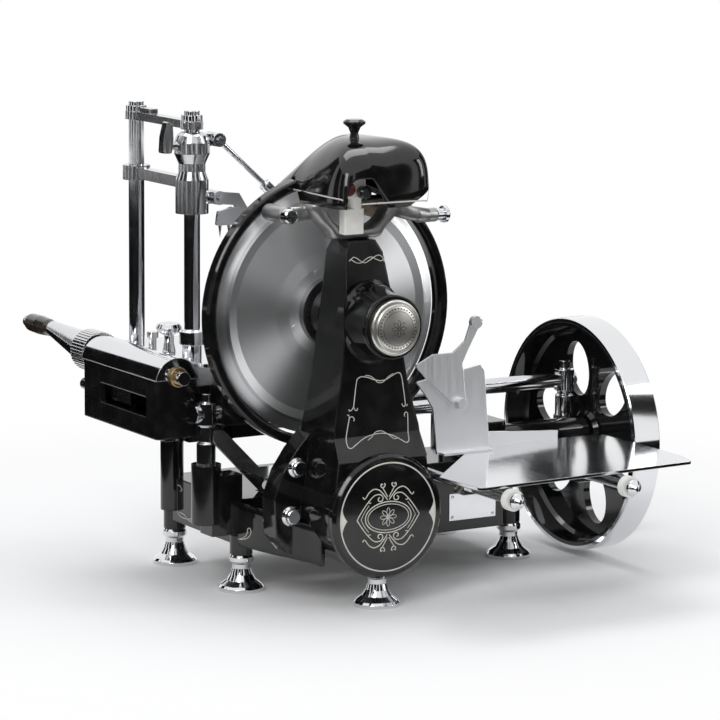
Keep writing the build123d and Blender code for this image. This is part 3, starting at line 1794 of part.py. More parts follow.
with BuildPart() as acorn_nuts:
    for x in (plate_rod_left, plate_rod_right):
        turned_y(
            x,
            plate_rod_z,
            [
                (0, plate_rod_front - 13),
                (3, plate_rod_front - 12.5),
                (6, plate_rod_front - 9),
                (acorn_radius, plate_rod_front - 6),
                (acorn_radius, plate_rod_front),
                (0, plate_rod_front),
            ],
        )
        rod_y(
            x,
            plate_rod_z,
            plate_rod_radius + fit_gap,
            plate_rod_front - 5 - fit_gap,
            plate_rod_front + 1,
            mode=Mode.SUBTRACT,
        )
keep("acorn_nuts", acorn_nuts)

sheet_front = deflector_y - deflector_thickness / 2
sheet_back = deflector_y + deflector_thickness / 2
with BuildPart() as deflector_plate:
    plate_xz(
        [
            (deflector_left - 2, plate_top),
            (deflector_right, plate_top),
            (deflector_right - 7, deflector_top),
            (deflector_right - 12, deflector_top + 6),
            (deflector_left - 27, deflector_top - 6),
            (deflector_left - 15, deflector_top - 21),
            (deflector_left - 7, deflector_top - 34),
        ],
        sheet_front,
        sheet_back,
        corner=1.0,
    )
    block(deflector_left, deflector_right - 2, sheet_front - 10, sheet_back, plate_top, plate_top + 2.5)
    rod_y(
        deflector_pivot_x,
        deflector_pivot_z,
        2.5 + fit_gap,
        sheet_front - 1,
        sheet_back + 1,
        mode=Mode.SUBTRACT,
    )
keep("deflector_plate", deflector_plate)

lever_back = sheet_front - side_gap
with BuildPart() as deflector_lever:
    plate_xz(
        [
            (deflector_pivot_x - 52, deflector_pivot_z + 41),
            (deflector_pivot_x - 31, deflector_pivot_z + 51),
            (deflector_pivot_x - 8, deflector_pivot_z + 51),
            (deflector_pivot_x + 6, deflector_pivot_z + 62),
            (deflector_pivot_x + 14, deflector_pivot_z + 84),
            (deflector_pivot_x + 21, deflector_pivot_z + 85),
            (deflector_pivot_x + 23, deflector_pivot_z + 77),
            (deflector_pivot_x + 9, deflector_pivot_z + 52),
            (deflector_pivot_x + 3, deflector_pivot_z + 40),
            (deflector_pivot_x + 8, deflector_pivot_z),
            (deflector_pivot_x, deflector_pivot_z - 8),
            (deflector_pivot_x - 8, deflector_pivot_z),
            (deflector_pivot_x - 40, deflector_pivot_z + 28),
        ],
        lever_back - 2.4,
        lever_back,
        corner=2.0,
    )
    rod_y(deflector_pivot_x, deflector_pivot_z, 5.5, lever_back - 9, lever_back)
    rod_y(deflector_pivot_x, deflector_pivot_z, 2.5, lever_back - 1, sheet_back + 3)
    rod_y(deflector_pivot_x + 18, deflector_pivot_z + 80, 6.5, lever_back - 5, lever_back)
keep("deflector_lever", deflector_lever)

with BuildPart() as drip_tray:
    block(tray_left, tray_right, tray_front, tray_back, gearbox_top, gearbox_top + tray_thickness, 3.0)
keep("drip_tray", drip_tray)
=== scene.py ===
# %% [markdown]
# # A hand crank meat slicer
#
# The machine is cast iron in gloss black, with bright steel and chrome working
# parts and thin cream lines painted by hand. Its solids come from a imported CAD
# model, which is loaded first and never changed. This file gives every solid a
# finish worked out from nodes, adds the small pieces a painter or a fitter would
# add last, and sets up a plain studio round them.

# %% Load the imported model
from math import cos, sin

import bmesh
import bpy
import numpy as np
from mathutils import Matrix


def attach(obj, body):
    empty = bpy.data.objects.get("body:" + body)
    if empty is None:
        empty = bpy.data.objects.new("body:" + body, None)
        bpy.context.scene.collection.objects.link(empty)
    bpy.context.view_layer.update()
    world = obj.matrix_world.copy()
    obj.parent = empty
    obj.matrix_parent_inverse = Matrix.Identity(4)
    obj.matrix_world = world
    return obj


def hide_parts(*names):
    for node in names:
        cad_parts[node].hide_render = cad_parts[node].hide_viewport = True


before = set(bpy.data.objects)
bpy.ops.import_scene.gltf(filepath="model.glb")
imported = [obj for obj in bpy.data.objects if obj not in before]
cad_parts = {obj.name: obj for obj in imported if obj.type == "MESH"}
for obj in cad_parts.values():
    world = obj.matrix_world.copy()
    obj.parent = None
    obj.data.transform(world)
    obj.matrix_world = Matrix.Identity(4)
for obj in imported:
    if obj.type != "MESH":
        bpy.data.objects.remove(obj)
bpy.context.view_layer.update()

# %% [markdown]
# ## Measures
#
# The castings were drawn in millimetres and Blender works in metres, so one
# factor turns the drawing's numbers into Blender's. The names below are the
# places that several pieces share: the column's centre line, the two heights
# on it, and the flywheel's axle.

# %% Shared measures
MM = 0.001
column_x = -78.0
axle_z = 93.0
blade_z = 281.0
cover_front = -220.0
flywheel_axle = (-87.0, 127.0)
flywheel_radius = 122.5
column_face = np.array([(93, -210), (148, -210), (171, -198), (195, -194), (281, -186), (359, -168)], float)
print("blade axle", blade_z - axle_z, "mm above the cross axle")

# %% [markdown]
# ## Camera
#
# The photograph was taken with a long lens from the front left, slightly above
# the machine. The camera's three directions and its place were solved from the
# round parts, whose true shape is known. Writing them straight into the matrix
# keeps the small roll that angles read off by eye would lose.

# %% Set the camera
camera_right = np.array([0.8593, -0.5114, 0.0070])
camera_up = np.array([0.0770, 0.1429, 0.9867])
camera_back = -np.array([0.5056, 0.8474, -0.1622])
camera_place = np.array([-1.8048, -3.0604, 0.7926])

camera_data = bpy.data.cameras.new("slicer_camera")
camera = bpy.data.objects.new("slicer_camera", camera_data)
bpy.context.scene.collection.objects.link(camera)
camera_matrix = np.eye(4)
camera_matrix[:3, 0] = camera_right
camera_matrix[:3, 1] = camera_up
camera_matrix[:3, 2] = camera_back
camera_matrix[:3, 3] = camera_place
camera.matrix_world = Matrix(camera_matrix.tolist())
camera_data.sensor_width = 36.0
camera_data.lens = 173.87
camera_data.shift_x = -0.0017
camera_data.shift_y = 0.0025
camera_data.clip_end = 50.0
bpy.context.scene.camera = camera
print("camera", round(float(np.linalg.norm(camera_place)), 2), "m from the machine's feet")

# %% [markdown]
# ## Studio
#
# Black gloss and chrome look like what stands round them. A plain white room
# would wash both out, so a photographer puts black cards beside the machine
# and leaves gaps between them: the gaps become the thin bright edges that draw
# a black casting. The cards here are seen only by reflections, so they cast no
# shadow and no view shows them.

# %% World and view
scene = bpy.context.scene
scene.view_settings.view_transform = "Standard"
world = bpy.data.worlds.new("studio")
scene.world = world
world.use_nodes = True
wn, wl = world.node_tree.nodes, world.node_tree.links
wn.clear()
light_path = wn.new("ShaderNodeLightPath")
seen = wn.new("ShaderNodeMath")
seen.operation = "MAXIMUM"
wl.new(light_path.outputs["Is Camera Ray"], seen.inputs[0])
wl.new(light_path.outputs["Is Glossy Ray"], seen.inputs[1])
seen_all = wn.new("ShaderNodeMath")
seen_all.operation = "MAXIMUM"
wl.new(seen.outputs[0], seen_all.inputs[0])
wl.new(light_path.outputs["Is Transmission Ray"], seen_all.inputs[1])
soft_light = wn.new("ShaderNodeBackground")
soft_light.inputs["Color"].default_value = (0.97, 0.98, 1.0, 1.0)
soft_light.inputs["Strength"].default_value = 0.62
white_wall = wn.new("ShaderNodeBackground")
white_wall.inputs["Color"].default_value = (1.0, 1.0, 1.0, 1.0)
white_wall.inputs["Strength"].default_value = 1.0
wall_mix = wn.new("ShaderNodeMixShader")
wl.new(seen_all.outputs[0], wall_mix.inputs["Fac"])
wl.new(soft_light.outputs[0], wall_mix.inputs[1])
wl.new(white_wall.outputs[0], wall_mix.inputs[2])
world_out = wn.new("ShaderNodeOutputWorld")
wl.new(wall_mix.outputs[0], world_out.inputs["Surface"])
print("soft light level", soft_light.inputs["Strength"].default_value)


# %% [markdown]
# ### Lamps
#
# Three large flat lamps stand round the machine, as soft boxes do: one at the
# front left gives the form, one fills from the right and one lights the top.

# %% Lamps
def soft_lamp(name, place, aim, size, watts):
    """Flat lamp of two given sides that faces a point: its light falls with the square of the distance."""
    data = bpy.data.lights.new(name, "AREA")
    data.shape = "RECTANGLE"
    data.size, data.size_y = size
    data.energy = watts
    lamp = bpy.data.objects.new(name, data)
    scene.collection.objects.link(lamp)
    away = np.array(place, float) - np.array(aim, float)
    away /= np.linalg.norm(away)
    side = np.cross((0, 0, 1), away)
    side /= np.linalg.norm(side)
    up = np.cross(away, side)
    matrix = np.eye(4)
    matrix[:3, 0], matrix[:3, 1], matrix[:3, 2], matrix[:3, 3] = side, up, away, place
    lamp.matrix_world = Matrix(matrix.tolist())
    return lamp


soft_lamp("key_lamp", (-2.0, -1.6, 1.9), (0, 0, 0.25), (0.9, 1.4), 26)
soft_lamp("side_lamp", (2.1, -1.7, 1.3), (0, 0, 0.2), (0.5, 1.6), 14)
soft_lamp("top_lamp", (0.1, 0.5, 2.3), (0, 0, 0.2), (1.6, 0.9), 16)


# %% [markdown]
# ### Surfaces
#
# Every added piece is a surface on a grid of points, worked out as one array.
# A grid is easy to close, to cap and to check, so a few helpers make them all.

# %% Surfaces as grids of points
def smooth_path(points, steps=10):
    """Curve through points.

    Between two of them it follows the cubic whose slopes are half the steps to their neighbours.
    """
    p = np.asarray(points, float)
    before = np.vstack([2 * p[0] - p[1], p[:-2]])
    after = np.vstack([p[2:], 2 * p[-1] - p[-2]])
    a, b, c, d = before, p[:-1], p[1:], after
    t = np.linspace(0, 1, steps, endpoint=False)[None, :, None]
    a, b, c, d = (q[:, None, :] for q in (a, b, c, d))
    square = (2 * a - 5 * b + 4 * c - d) * t**2
    cube = (3 * b - a - 3 * c + d) * t**3
    curve = 0.5 * (2 * b + (c - a) * t + square + cube)
    return np.vstack([curve.reshape(-1, p.shape[1]), p[-1:]])


def grid(points, closed_u=False, closed_v=False):
    """Quads between neighbouring points of an (m, n, 3) grid.

    A closed direction joins its last row to its first.
    """
    rows, columns = points.shape[:2]
    index = np.arange(rows * columns).reshape(rows, columns)
    if closed_u:
        index = np.vstack([index, index[:1]])
    if closed_v:
        index = np.hstack([index, index[:, :1]])
    quads = np.stack([index[:-1, :-1], index[1:, :-1], index[1:, 1:], index[:-1, 1:]], -1)
    return points.reshape(-1, 3), quads.reshape(-1, 4)


def together(parts):
    """One list of vertices and faces from several: face numbers shift by the vertices before them."""
    starts = np.cumsum([0] + [len(v) for v, f in parts[:-1]])
    vertices = np.vstack([v for v, f in parts])
    faces = np.vstack([f + s for (v, f), s in zip(parts, starts)])
    return vertices, faces


def make_piece(name, parts, finish, body, smooth=True, closed=True):
    """Mesh object in metres from parts in millimetres, riding on a body of the frame."""
    vertices, faces = together(parts)
    mesh = bpy.data.meshes.new(name)
    mesh.from_pydata((vertices * MM).tolist(), [], faces.tolist())
    if closed:
        work = bmesh.new()
        work.from_mesh(mesh)
        bmesh.ops.remove_doubles(work, verts=work.verts, dist=1e-6)
        bmesh.ops.recalc_face_normals(work, faces=work.faces)
        work.to_mesh(mesh)
        work.free()
    mesh.materials.append(finish)
    mesh.polygons.foreach_set("use_smooth", np.full(len(mesh.polygons), smooth))
    thing = bpy.data.objects.new(name, mesh)
    scene.collection.objects.link(thing)
    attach(thing, body)
    print(name, len(mesh.polygons), "faces on", body)
    return thing


# %% [markdown]
# ### Floor and cards
#
# The floor is pale and rough, and fades to the white of the wall far away, so
# that no edge shows. The cards share one helper, which hides them from every
# view and leaves them to the reflections.

# %% Floor and cards
def node_set(material):
    """The nodes and links of a material, and its surface shader."""
    material.use_nodes = True
    tree = material.node_tree
    return tree.nodes, tree.links, tree.nodes["Principled BSDF"]


floor_finish = bpy.data.materials.new("pale_floor")
fn, fl, floor_shader = node_set(floor_finish)
floor_shader.inputs["Base Color"].default_value = (0.93, 0.93, 0.93, 1)
floor_shader.inputs["Roughness"].default_value = 0.9
floor_shader.inputs["Specular IOR Level"].default_value = 0.1
floor_place = fn.new("ShaderNodeTexCoord")
floor_length = fn.new("ShaderNodeVectorMath")
floor_length.operation = "LENGTH"
fl.new(floor_place.outputs["Object"], floor_length.inputs[0])
floor_fade = fn.new("ShaderNodeMapRange")
floor_fade.interpolation_type = "SMOOTHSTEP"
floor_fade.inputs["From Min"].default_value = 0.25
floor_fade.inputs["From Max"].default_value = 0.95
fl.new(floor_length.outputs["Value"], floor_fade.inputs["Value"])
floor_path = fn.new("ShaderNodeLightPath")
floor_seen = fn.new("ShaderNodeMath")
floor_seen.operation = "MAXIMUM"
fl.new(floor_path.outputs["Is Camera Ray"], floor_seen.inputs[0])
fl.new(floor_path.outputs["Is Glossy Ray"], floor_seen.inputs[1])
floor_far = fn.new("ShaderNodeMath")
floor_far.operation = "MULTIPLY"
fl.new(floor_fade.outputs["Result"], floor_far.inputs[0])
fl.new(floor_seen.outputs[0], floor_far.inputs[1])
floor_white = fn.new("ShaderNodeEmission")
floor_white.inputs["Color"].default_value = (1, 1, 1, 1)
floor_mix = fn.new("ShaderNodeMixShader")
fl.new(floor_far.outputs[0], floor_mix.inputs["Fac"])
fl.new(floor_shader.outputs[0], floor_mix.inputs[1])
fl.new(floor_white.outputs[0], floor_mix.inputs[2])
fl.new(floor_mix.outputs[0], fn["Material Output"].inputs["Surface"])

floor_grid = np.array([[(-9, -9, 0), (-9, 9, 0)], [(9, -9, 0), (9, 9, 0)]], float)
floor_mesh = bpy.data.meshes.new("studio_floor")
floor_vertices, floor_faces = grid(floor_grid)
floor_mesh.from_pydata(floor_vertices.tolist(), [], floor_faces[:, ::-1].tolist())
floor_mesh.materials.append(floor_finish)
floor = bpy.data.objects.new("studio_floor", floor_mesh)
scene.collection.objects.link(floor)

card_finish = bpy.data.materials.new("black_card")
cn, cl, card_shader = node_set(card_finish)
card_shader.inputs["Roughness"].default_value = 1.0
card_shader.inputs["Specular IOR Level"].default_value = 0.0
card_weave = cn.new("ShaderNodeTexNoise")
card_weave.inputs["Scale"].default_value = 3.0
card_tone = cn.new("ShaderNodeValToRGB")
card_tone.color_ramp.elements[0].color = (0.004, 0.004, 0.004, 1)
card_tone.color_ramp.elements[1].color = (0.012, 0.012, 0.012, 1)
cl.new(card_weave.outputs["Fac"], card_tone.inputs["Fac"])
cl.new(card_tone.outputs["Color"], card_shader.inputs["Base Color"])


def hang_card(name, points):
    """Black card through a grid of points, which only reflections see."""
    vertices, faces = grid(points)
    mesh = bpy.data.meshes.new(name)
    mesh.from_pydata(vertices.tolist(), [], faces.tolist())
    mesh.materials.append(card_finish)
    card = bpy.data.objects.new(name, mesh)
    scene.collection.objects.link(card)
    card.visible_camera = False
    card.visible_diffuse = False
    card.visible_shadow = False
    card.visible_transmission = False


def upright_card(name, start, end, low, high, distance):
    """Curved card round the machine between two compass angles: the sine and cosine times the distance."""
    angles = np.radians(np.linspace(start, end, 9))
    points = np.empty((len(angles), 2, 3))
    points[..., 0] = distance * np.sin(angles)[:, None]
    points[..., 1] = -distance * np.cos(angles)[:, None]
    points[..., 2] = (low, high)
    hang_card(name, points)


def level_card(name, inner, outer, height):
    """Flat ring between two radii, so that upright black faces reflect it and not the white floor."""
    angles = np.radians(np.linspace(0, 360, 65))
    points = np.empty((len(angles), 2, 3))
    points[..., 0] = np.sin(angles)[:, None] * (inner, outer)
    points[..., 1] = -np.cos(angles)[:, None] * (inner, outer)
    points[..., 2] = height
    hang_card(name, points)


card_distance, card_foot, card_top = 3.9, 0.05, 3.4
level_card("floor_card", 0.62, card_distance, 0.004)
card_spans = [(-160, -140), (-128, -104), (-96, -70), (-62, -34), (-29, -6),
              (4, 30), (38, 62), (72, 100), (106, 118)]
for number, (start, end) in enumerate(card_spans):
    upright_card(f"card_{number}", start, end, card_foot, card_top, card_distance)
print("cards:", len(card_spans))

# %% [markdown]
# ## Finishes
#
# Every finish starts from one shader and gets its detail from noise read in the
# object's own coordinates, so the pattern stays put when the part moves. Gloss
# paint is not flat: it has a faint orange-peel ripple and a little dust.
# Polished metal shows fine scratches. The helpers below add those three things
# (tone, gloss and relief) to any finish.


# %% Helpers for finishes
def new_finish(name, colour, metallic=0.0, roughness=0.4, coat=0.0):
    """Material with its even values written on the shader itself."""
    material = bpy.data.materials.new(name)
    nodes, links, shader = node_set(material)
    shader.inputs["Base Color"].default_value = (*colour, 1)
    shader.inputs["Metallic"].default_value = metallic
    shader.inputs["Roughness"].default_value = roughness
    shader.inputs["Coat Weight"].default_value = coat
    shader.inputs["Coat Roughness"].default_value = 0.03
    return material


def grain(material, scale, stretch=(1, 1, 1), detail=3.0, centre=(0, 0, 0)):
    """Noise in object coordinates, stretched along an axis by a small factor there."""
    nodes, links, shader = node_set(material)
    place = nodes.new("ShaderNodeTexCoord")
    turn = nodes.new("ShaderNodeMapping")
    turn.vector_type = "TEXTURE"
    turn.inputs["Location"].default_value = centre
    links.new(place.outputs["Object"], turn.inputs["Vector"])
    squash = nodes.new("ShaderNodeMapping")
    squash.inputs["Scale"].default_value = stretch
    links.new(turn.outputs["Vector"], squash.inputs["Vector"])
    noise = nodes.new("ShaderNodeTexNoise")
    noise.inputs["Scale"].default_value = scale
    noise.inputs["Detail"].default_value = detail
    links.new(squash.outputs["Vector"], noise.inputs["Vector"])
    return noise.outputs["Fac"]


def rings(material, centre, axis, scale):
    """Noise that depends only on the distance from a line, so it forms fine circles round it."""
    nodes, links, shader = node_set(material)
    place = nodes.new("ShaderNodeTexCoord")
    turn = nodes.new("ShaderNodeMapping")
    turn.vector_type = "TEXTURE"
    turn.inputs["Location"].default_value = centre
    links.new(place.outputs["Object"], turn.inputs["Vector"])
    flat = nodes.new("ShaderNodeVectorMath")
    flat.operation = "MULTIPLY"
    flat.inputs[1].default_value = tuple(0.0 if a == axis else 1.0 for a in "XYZ")
    links.new(turn.outputs["Vector"], flat.inputs[0])
    radius = nodes.new("ShaderNodeVectorMath")
    radius.operation = "LENGTH"
    links.new(flat.outputs[0], radius.inputs[0])
    noise = nodes.new("ShaderNodeTexNoise")
    noise.noise_dimensions = "1D"
    noise.inputs["Scale"].default_value = scale
    noise.inputs["Detail"].default_value = 4.0
    links.new(radius.outputs["Value"], noise.inputs["W"])
    return noise.outputs["Fac"], radius.outputs["Value"]


def spread(material, source, low, high, from_low=0.3, from_high=0.7):
    """Numbers of a pattern moved to a new range, held at its ends."""
    nodes, links, shader = node_set(material)
    ramp = nodes.new("ShaderNodeMapRange")
    ramp.inputs["From Min"].default_value = from_low
    ramp.inputs["From Max"].default_value = from_high
    ramp.inputs["To Min"].default_value = low
    ramp.inputs["To Max"].default_value = high
    links.new(source, ramp.inputs["Value"])
    return ramp.outputs["Result"]


def two_tone(material, source, first, second):
    """Colour between two, by a pattern that runs from 0 to 1."""
    nodes, links, shader = node_set(material)
    mix = nodes.new("ShaderNodeMix")
    mix.data_type = "RGBA"
    mix.inputs["A"].default_value = (*first, 1)
    mix.inputs["B"].default_value = (*second, 1)
    links.new(source, mix.inputs["Factor"])
    return mix.outputs["Result"]


def put_in(material, socket, source):
    """Feed a pattern into one of the shader's sockets."""
    nodes, links, shader = node_set(material)
    links.new(source, shader.inputs[socket])


def relief(material, source, depth, strength=1.0):
    """Small height differences, in metres, as a bump on the surface."""
    nodes, links, shader = node_set(material)
    bump = nodes.new("ShaderNodeBump")
    bump.inputs["Distance"].default_value = depth
    bump.inputs["Strength"].default_value = strength
    links.new(source, bump.inputs["Height"])
    if shader.inputs["Normal"].is_linked:
        links.new(shader.inputs["Normal"].links[0].from_socket, bump.inputs["Normal"])
    links.new(bump.outputs["Normal"], shader.inputs["Normal"])


def cloudy(material, scale, detail, first, second):
    """Base colour that wanders between two: noise of a scale, spread to run from 0 to 1, mixes them."""
    tone = spread(material, grain(material, scale, detail=detail), 0, 1)
    put_in(material, "Base Color", two_tone(material, tone, first, second))


def soft_edges(material, radius):
    """Shade sharp edges as if they were rounded to a radius in metres."""
    nodes, links, shader = node_set(material)
    bevel = nodes.new("ShaderNodeBevel")
    bevel.samples = 6
    bevel.inputs["Radius"].default_value = radius
    links.new(bevel.outputs["Normal"], shader.inputs["Normal"])


print("finish helpers ready")

# %% [markdown]
# ### Black enamel
#
# The castings are filled, rubbed down and sprayed, then baked. The paint flows
# a little over the metal, which leaves a soft ripple that bends reflections.
# A second, larger ripple gives the slow wave of a hand-filled casting.


# %% Black enamel
gloss_black = (0.006, 0.006, 0.0065)


def black_enamel(name, ripple=0.00012):
    """Gloss black with dust in its tone and two ripples, a slow one and one as fine as orange peel."""
    paint = new_finish(name, gloss_black, 0.0, 0.07, 0.15)
    soft_edges(paint, 0.0022)
    dust = grain(paint, 60.0, detail=6.0)
    tone = spread(paint, dust, 0, 1, 0.45, 0.75)
    put_in(paint, "Base Color", two_tone(paint, tone, (0.0045, 0.0045, 0.005), (0.011, 0.0108, 0.0105)))
    put_in(paint, "Roughness", spread(paint, grain(paint, 22.0, detail=5.0), 0.04, 0.13))
    relief(paint, grain(paint, 30.0, detail=1.0), ripple, 0.5)
    relief(paint, grain(paint, 420.0, detail=1.0), ripple * 0.06, 0.35)
    return paint


enamel = black_enamel("black_enamel")
print(enamel.name, "nodes:", len(enamel.node_tree.nodes))

# %% [markdown]
# ### Bright metals
#
# Chrome is nearly a mirror with hairline scratches. Sheet steel is brushed one
# way, so its grain is long in that direction and fine across it. Turned parts
# carry circles left by the lathe, which depend only on the distance from the
# axis.


# %% Bright metals
def chrome(name, colour=(0.80, 0.81, 0.83), rough=(0.03, 0.11)):
    """Plating: nearly a mirror, cloudy in its gloss, with hairlines along Z."""
    metal = new_finish(name, colour, 1.0, rough[0])
    soft_edges(metal, 0.0008)
    put_in(metal, "Roughness", spread(metal, grain(metal, 35.0, detail=7.0), *rough))
    cloudy(metal, 12.0, 4.0, tuple(c * 0.9 for c in colour), colour)
    relief(metal, grain(metal, 500.0, (1, 1, 0.08), 2.0), 0.00001, 0.25)
    return metal


def sheet_steel(name, colour, stretch, rough=(0.16, 0.34), depth=0.00003):
    """Brushed sheet: the same stretched noise gives its gloss and its fine lines."""
    metal = new_finish(name, colour, 1.0, 0.25)
    soft_edges(metal, 0.0006)
    lines = grain(metal, 900.0, stretch, 2.0)
    put_in(metal, "Roughness", spread(metal, lines, *rough))
    cloudy(metal, 9.0, 5.0, tuple(c * 0.93 for c in colour), colour)
    relief(metal, lines, depth, 0.2)
    return metal


bright = chrome("chrome")
rail_steel = chrome("ground_rail", (0.74, 0.75, 0.77), (0.06, 0.18))
tray_steel = sheet_steel("receiving_sheet", (0.78, 0.79, 0.81), (1, 0.02, 1), (0.10, 0.16), 0.00001)
table_steel = sheet_steel("table_sheet", (0.76, 0.77, 0.79), (0.02, 1, 1), (0.10, 0.18), 0.00001)
deflector_steel = sheet_steel("deflector_sheet", (0.78, 0.79, 0.81), (1, 1, 0.02), (0.38, 0.46), 0.00001)
holder_steel = sheet_steel("holder_steel", (0.66, 0.67, 0.69), (1, 1, 0.05), (0.08, 0.22))
gear_steel = sheet_steel("gear_steel", (0.42, 0.42, 0.43), (1, 1, 1), (0.25, 0.45), 0.00005)
print("bright metals ready")

# %% [markdown]
# ### Blade
#
# The blade is a thin dished disc, ground to a bevel at its edge. Grinding turns
# it under the wheel, so the scratches are circles and the light gathers in two
# bright fans. A stretched highlight (anisotropy) with its direction turning
# about the axle gives those fans; fine rings break it up.

# %% Blade finish
bevel_from, bevel_to = 0.1148, 0.1156
blade_steel = new_finish("blade_steel", (0.66, 0.67, 0.68), 1.0, 0.2)
blade_rings, blade_radius = rings(blade_steel, (column_x * MM, 0, blade_z * MM), "Y", 1400.0)
put_in(blade_steel, "Roughness", spread(blade_steel, blade_rings, 0.34, 0.46))
bevel_tone = spread(blade_steel, blade_radius, 0, 1, bevel_from, bevel_to)
put_in(blade_steel, "Base Color", two_tone(blade_steel, bevel_tone, (0.60, 0.61, 0.62), (0.82, 0.83, 0.85)))
relief(blade_steel, blade_rings, 0.00002, 0.4)
bn, bl, blade_shader = node_set(blade_steel)
blade_shader.inputs["Anisotropic"].default_value = 0.85
blade_shader.inputs["Anisotropic Rotation"].default_value = 0.25
blade_way = bn.new("ShaderNodeTangent")
blade_way.direction_type = "RADIAL"
blade_way.axis = "Y"
bl.new(blade_way.outputs["Tangent"], blade_shader.inputs["Tangent"])
print("blade finish ready")

# %% [markdown]
# ### Flywheel
#
# The wheel is one casting with two finishes: the rim's outside and a narrow
# ring on its face are polished and plated, and everything inside is enamelled.
# A mask by the distance from the axle divides them in one material, so there
# is no second rim to keep in line.

# %% Flywheel finish
wheel_finish = new_finish("flywheel_two_finish", gloss_black, 0.0, 0.08, 0.3)
wheel_middle = (0, flywheel_axle[0] * MM, flywheel_axle[1] * MM)
wheel_rings, wheel_radius = rings(wheel_finish, wheel_middle, "X", 900.0)
rim_from, rim_to = flywheel_radius - 4.6, flywheel_radius - 4.4
rim_mask = spread(wheel_finish, wheel_radius, 0, 1, rim_from * MM, rim_to * MM)
put_in(wheel_finish, "Metallic", rim_mask)
put_in(wheel_finish, "Base Color", two_tone(wheel_finish, rim_mask, gloss_black, (0.79, 0.80, 0.82)))
put_in(wheel_finish, "Roughness", spread(wheel_finish, wheel_rings, 0.05, 0.12))
relief(wheel_finish, grain(wheel_finish, 30.0, detail=1.0), 0.0001, 0.3)
print("flywheel finish ready")


# %% [markdown]
# ### Small finishes
#
# The fork above the blade is a grey casting, the stone housing is pale fired
# clay, the bushes are bronze and the grips are dark polished wood.


# %% Cast, plastic, bronze and wood finishes
def cast_metal(name, light, dark, rough, metallic=0.9):
    """Bare casting: cloudy colour and gloss over a fine sandy relief."""
    metal = new_finish(name, light, metallic, rough[0])
    soft_edges(metal, 0.002)
    cloudy(metal, 40.0, 6.0, dark, light)
    put_in(metal, "Roughness", spread(metal, grain(metal, 90.0, detail=5.0), *rough))
    relief(metal, grain(metal, 260.0, detail=3.0), 0.00008, 0.5)
    return metal


def plain_body(name, light, dark, rough, scale=80.0, depth=0.00003, coat=0.0):
    """Clay, stone, plastic, wood or paint: cloudy colour, with finer noise for gloss and relief."""
    body = new_finish(name, light, 0.0, rough[0], coat)
    soft_edges(body, 0.001)
    cloudy(body, scale, 5.0, dark, light)
    put_in(body, "Roughness", spread(body, grain(body, scale * 1.6, detail=4.0), *rough))
    relief(body, grain(body, scale * 5, detail=3.0), depth, 0.4)
    return body


grey_cast = cast_metal("grey_casting", (0.46, 0.46, 0.46), (0.36, 0.36, 0.36), (0.28, 0.42))
bronze = cast_metal("bronze", (0.62, 0.45, 0.24), (0.48, 0.34, 0.17), (0.18, 0.32), 1.0)
clay = plain_body("stone_housing_clay", (0.74, 0.73, 0.69), (0.62, 0.61, 0.57), (0.5, 0.7))
stone = plain_body("sharpening_stone", (0.56, 0.47, 0.37), (0.38, 0.31, 0.24), (0.8, 0.95), 300.0, 0.0002)
nylon = plain_body("nylon", (0.80, 0.80, 0.77), (0.72, 0.72, 0.69), (0.3, 0.42))
red_button = plain_body("red_button", (0.085, 0.010, 0.012), (0.05, 0.006, 0.008), (0.15, 0.25), coat=0.2)
black_button = plain_body("black_button", (0.02, 0.02, 0.02), (0.012, 0.012, 0.012), (0.15, 0.25), coat=0.3)
grip_finish = plain_body("dark_grip", (0.030, 0.022, 0.017), (0.014, 0.010, 0.008), (0.12, 0.28),
                         50.0, 0.00002, 0.5)
# Cream paint for the lines. The same finish also makes the painted highlight along the hood's lip.
cream = plain_body("cream_paint_and_lip_highlight", (0.72, 0.70, 0.64), (0.60, 0.58, 0.52), (0.25, 0.35))
print("small finishes ready")

# %% [markdown]
# ### Lamps for the blade alone
#
# The blade stands square to the machine's front, and from the camera it mirrors
# the dark card on the floor. A photographer lights such a disc with reflectors
# of its own. Two lamps do that here: light linking lets them reach only the
# blade and the two deflector pieces beside it, and they cast no shadow. Under
# the other lamps alone, these three pieces would look darker.

# %% Lamps for the blade alone
blade_aim = (-0.08, -0.1, 0.28)
steel_receivers = bpy.data.collections.new("steel_receivers")
for name in ("blade", "deflector_plate", "deflector_lever"):
    steel_receivers.objects.link(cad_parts[name])
reflectors = [
    soft_lamp("blade_reflector_right", (2.25, -1.0, 0.50), blade_aim, (0.5, 0.7), 22),
    soft_lamp("blade_reflector_high", (0.35, -2.6, 1.7), blade_aim, (1.6, 0.6), 9),
]
for lamp in reflectors:
    lamp.light_linking.receiver_collection = steel_receivers
    lamp.data.use_shadow = False
print("blade lamps:", len(reflectors))
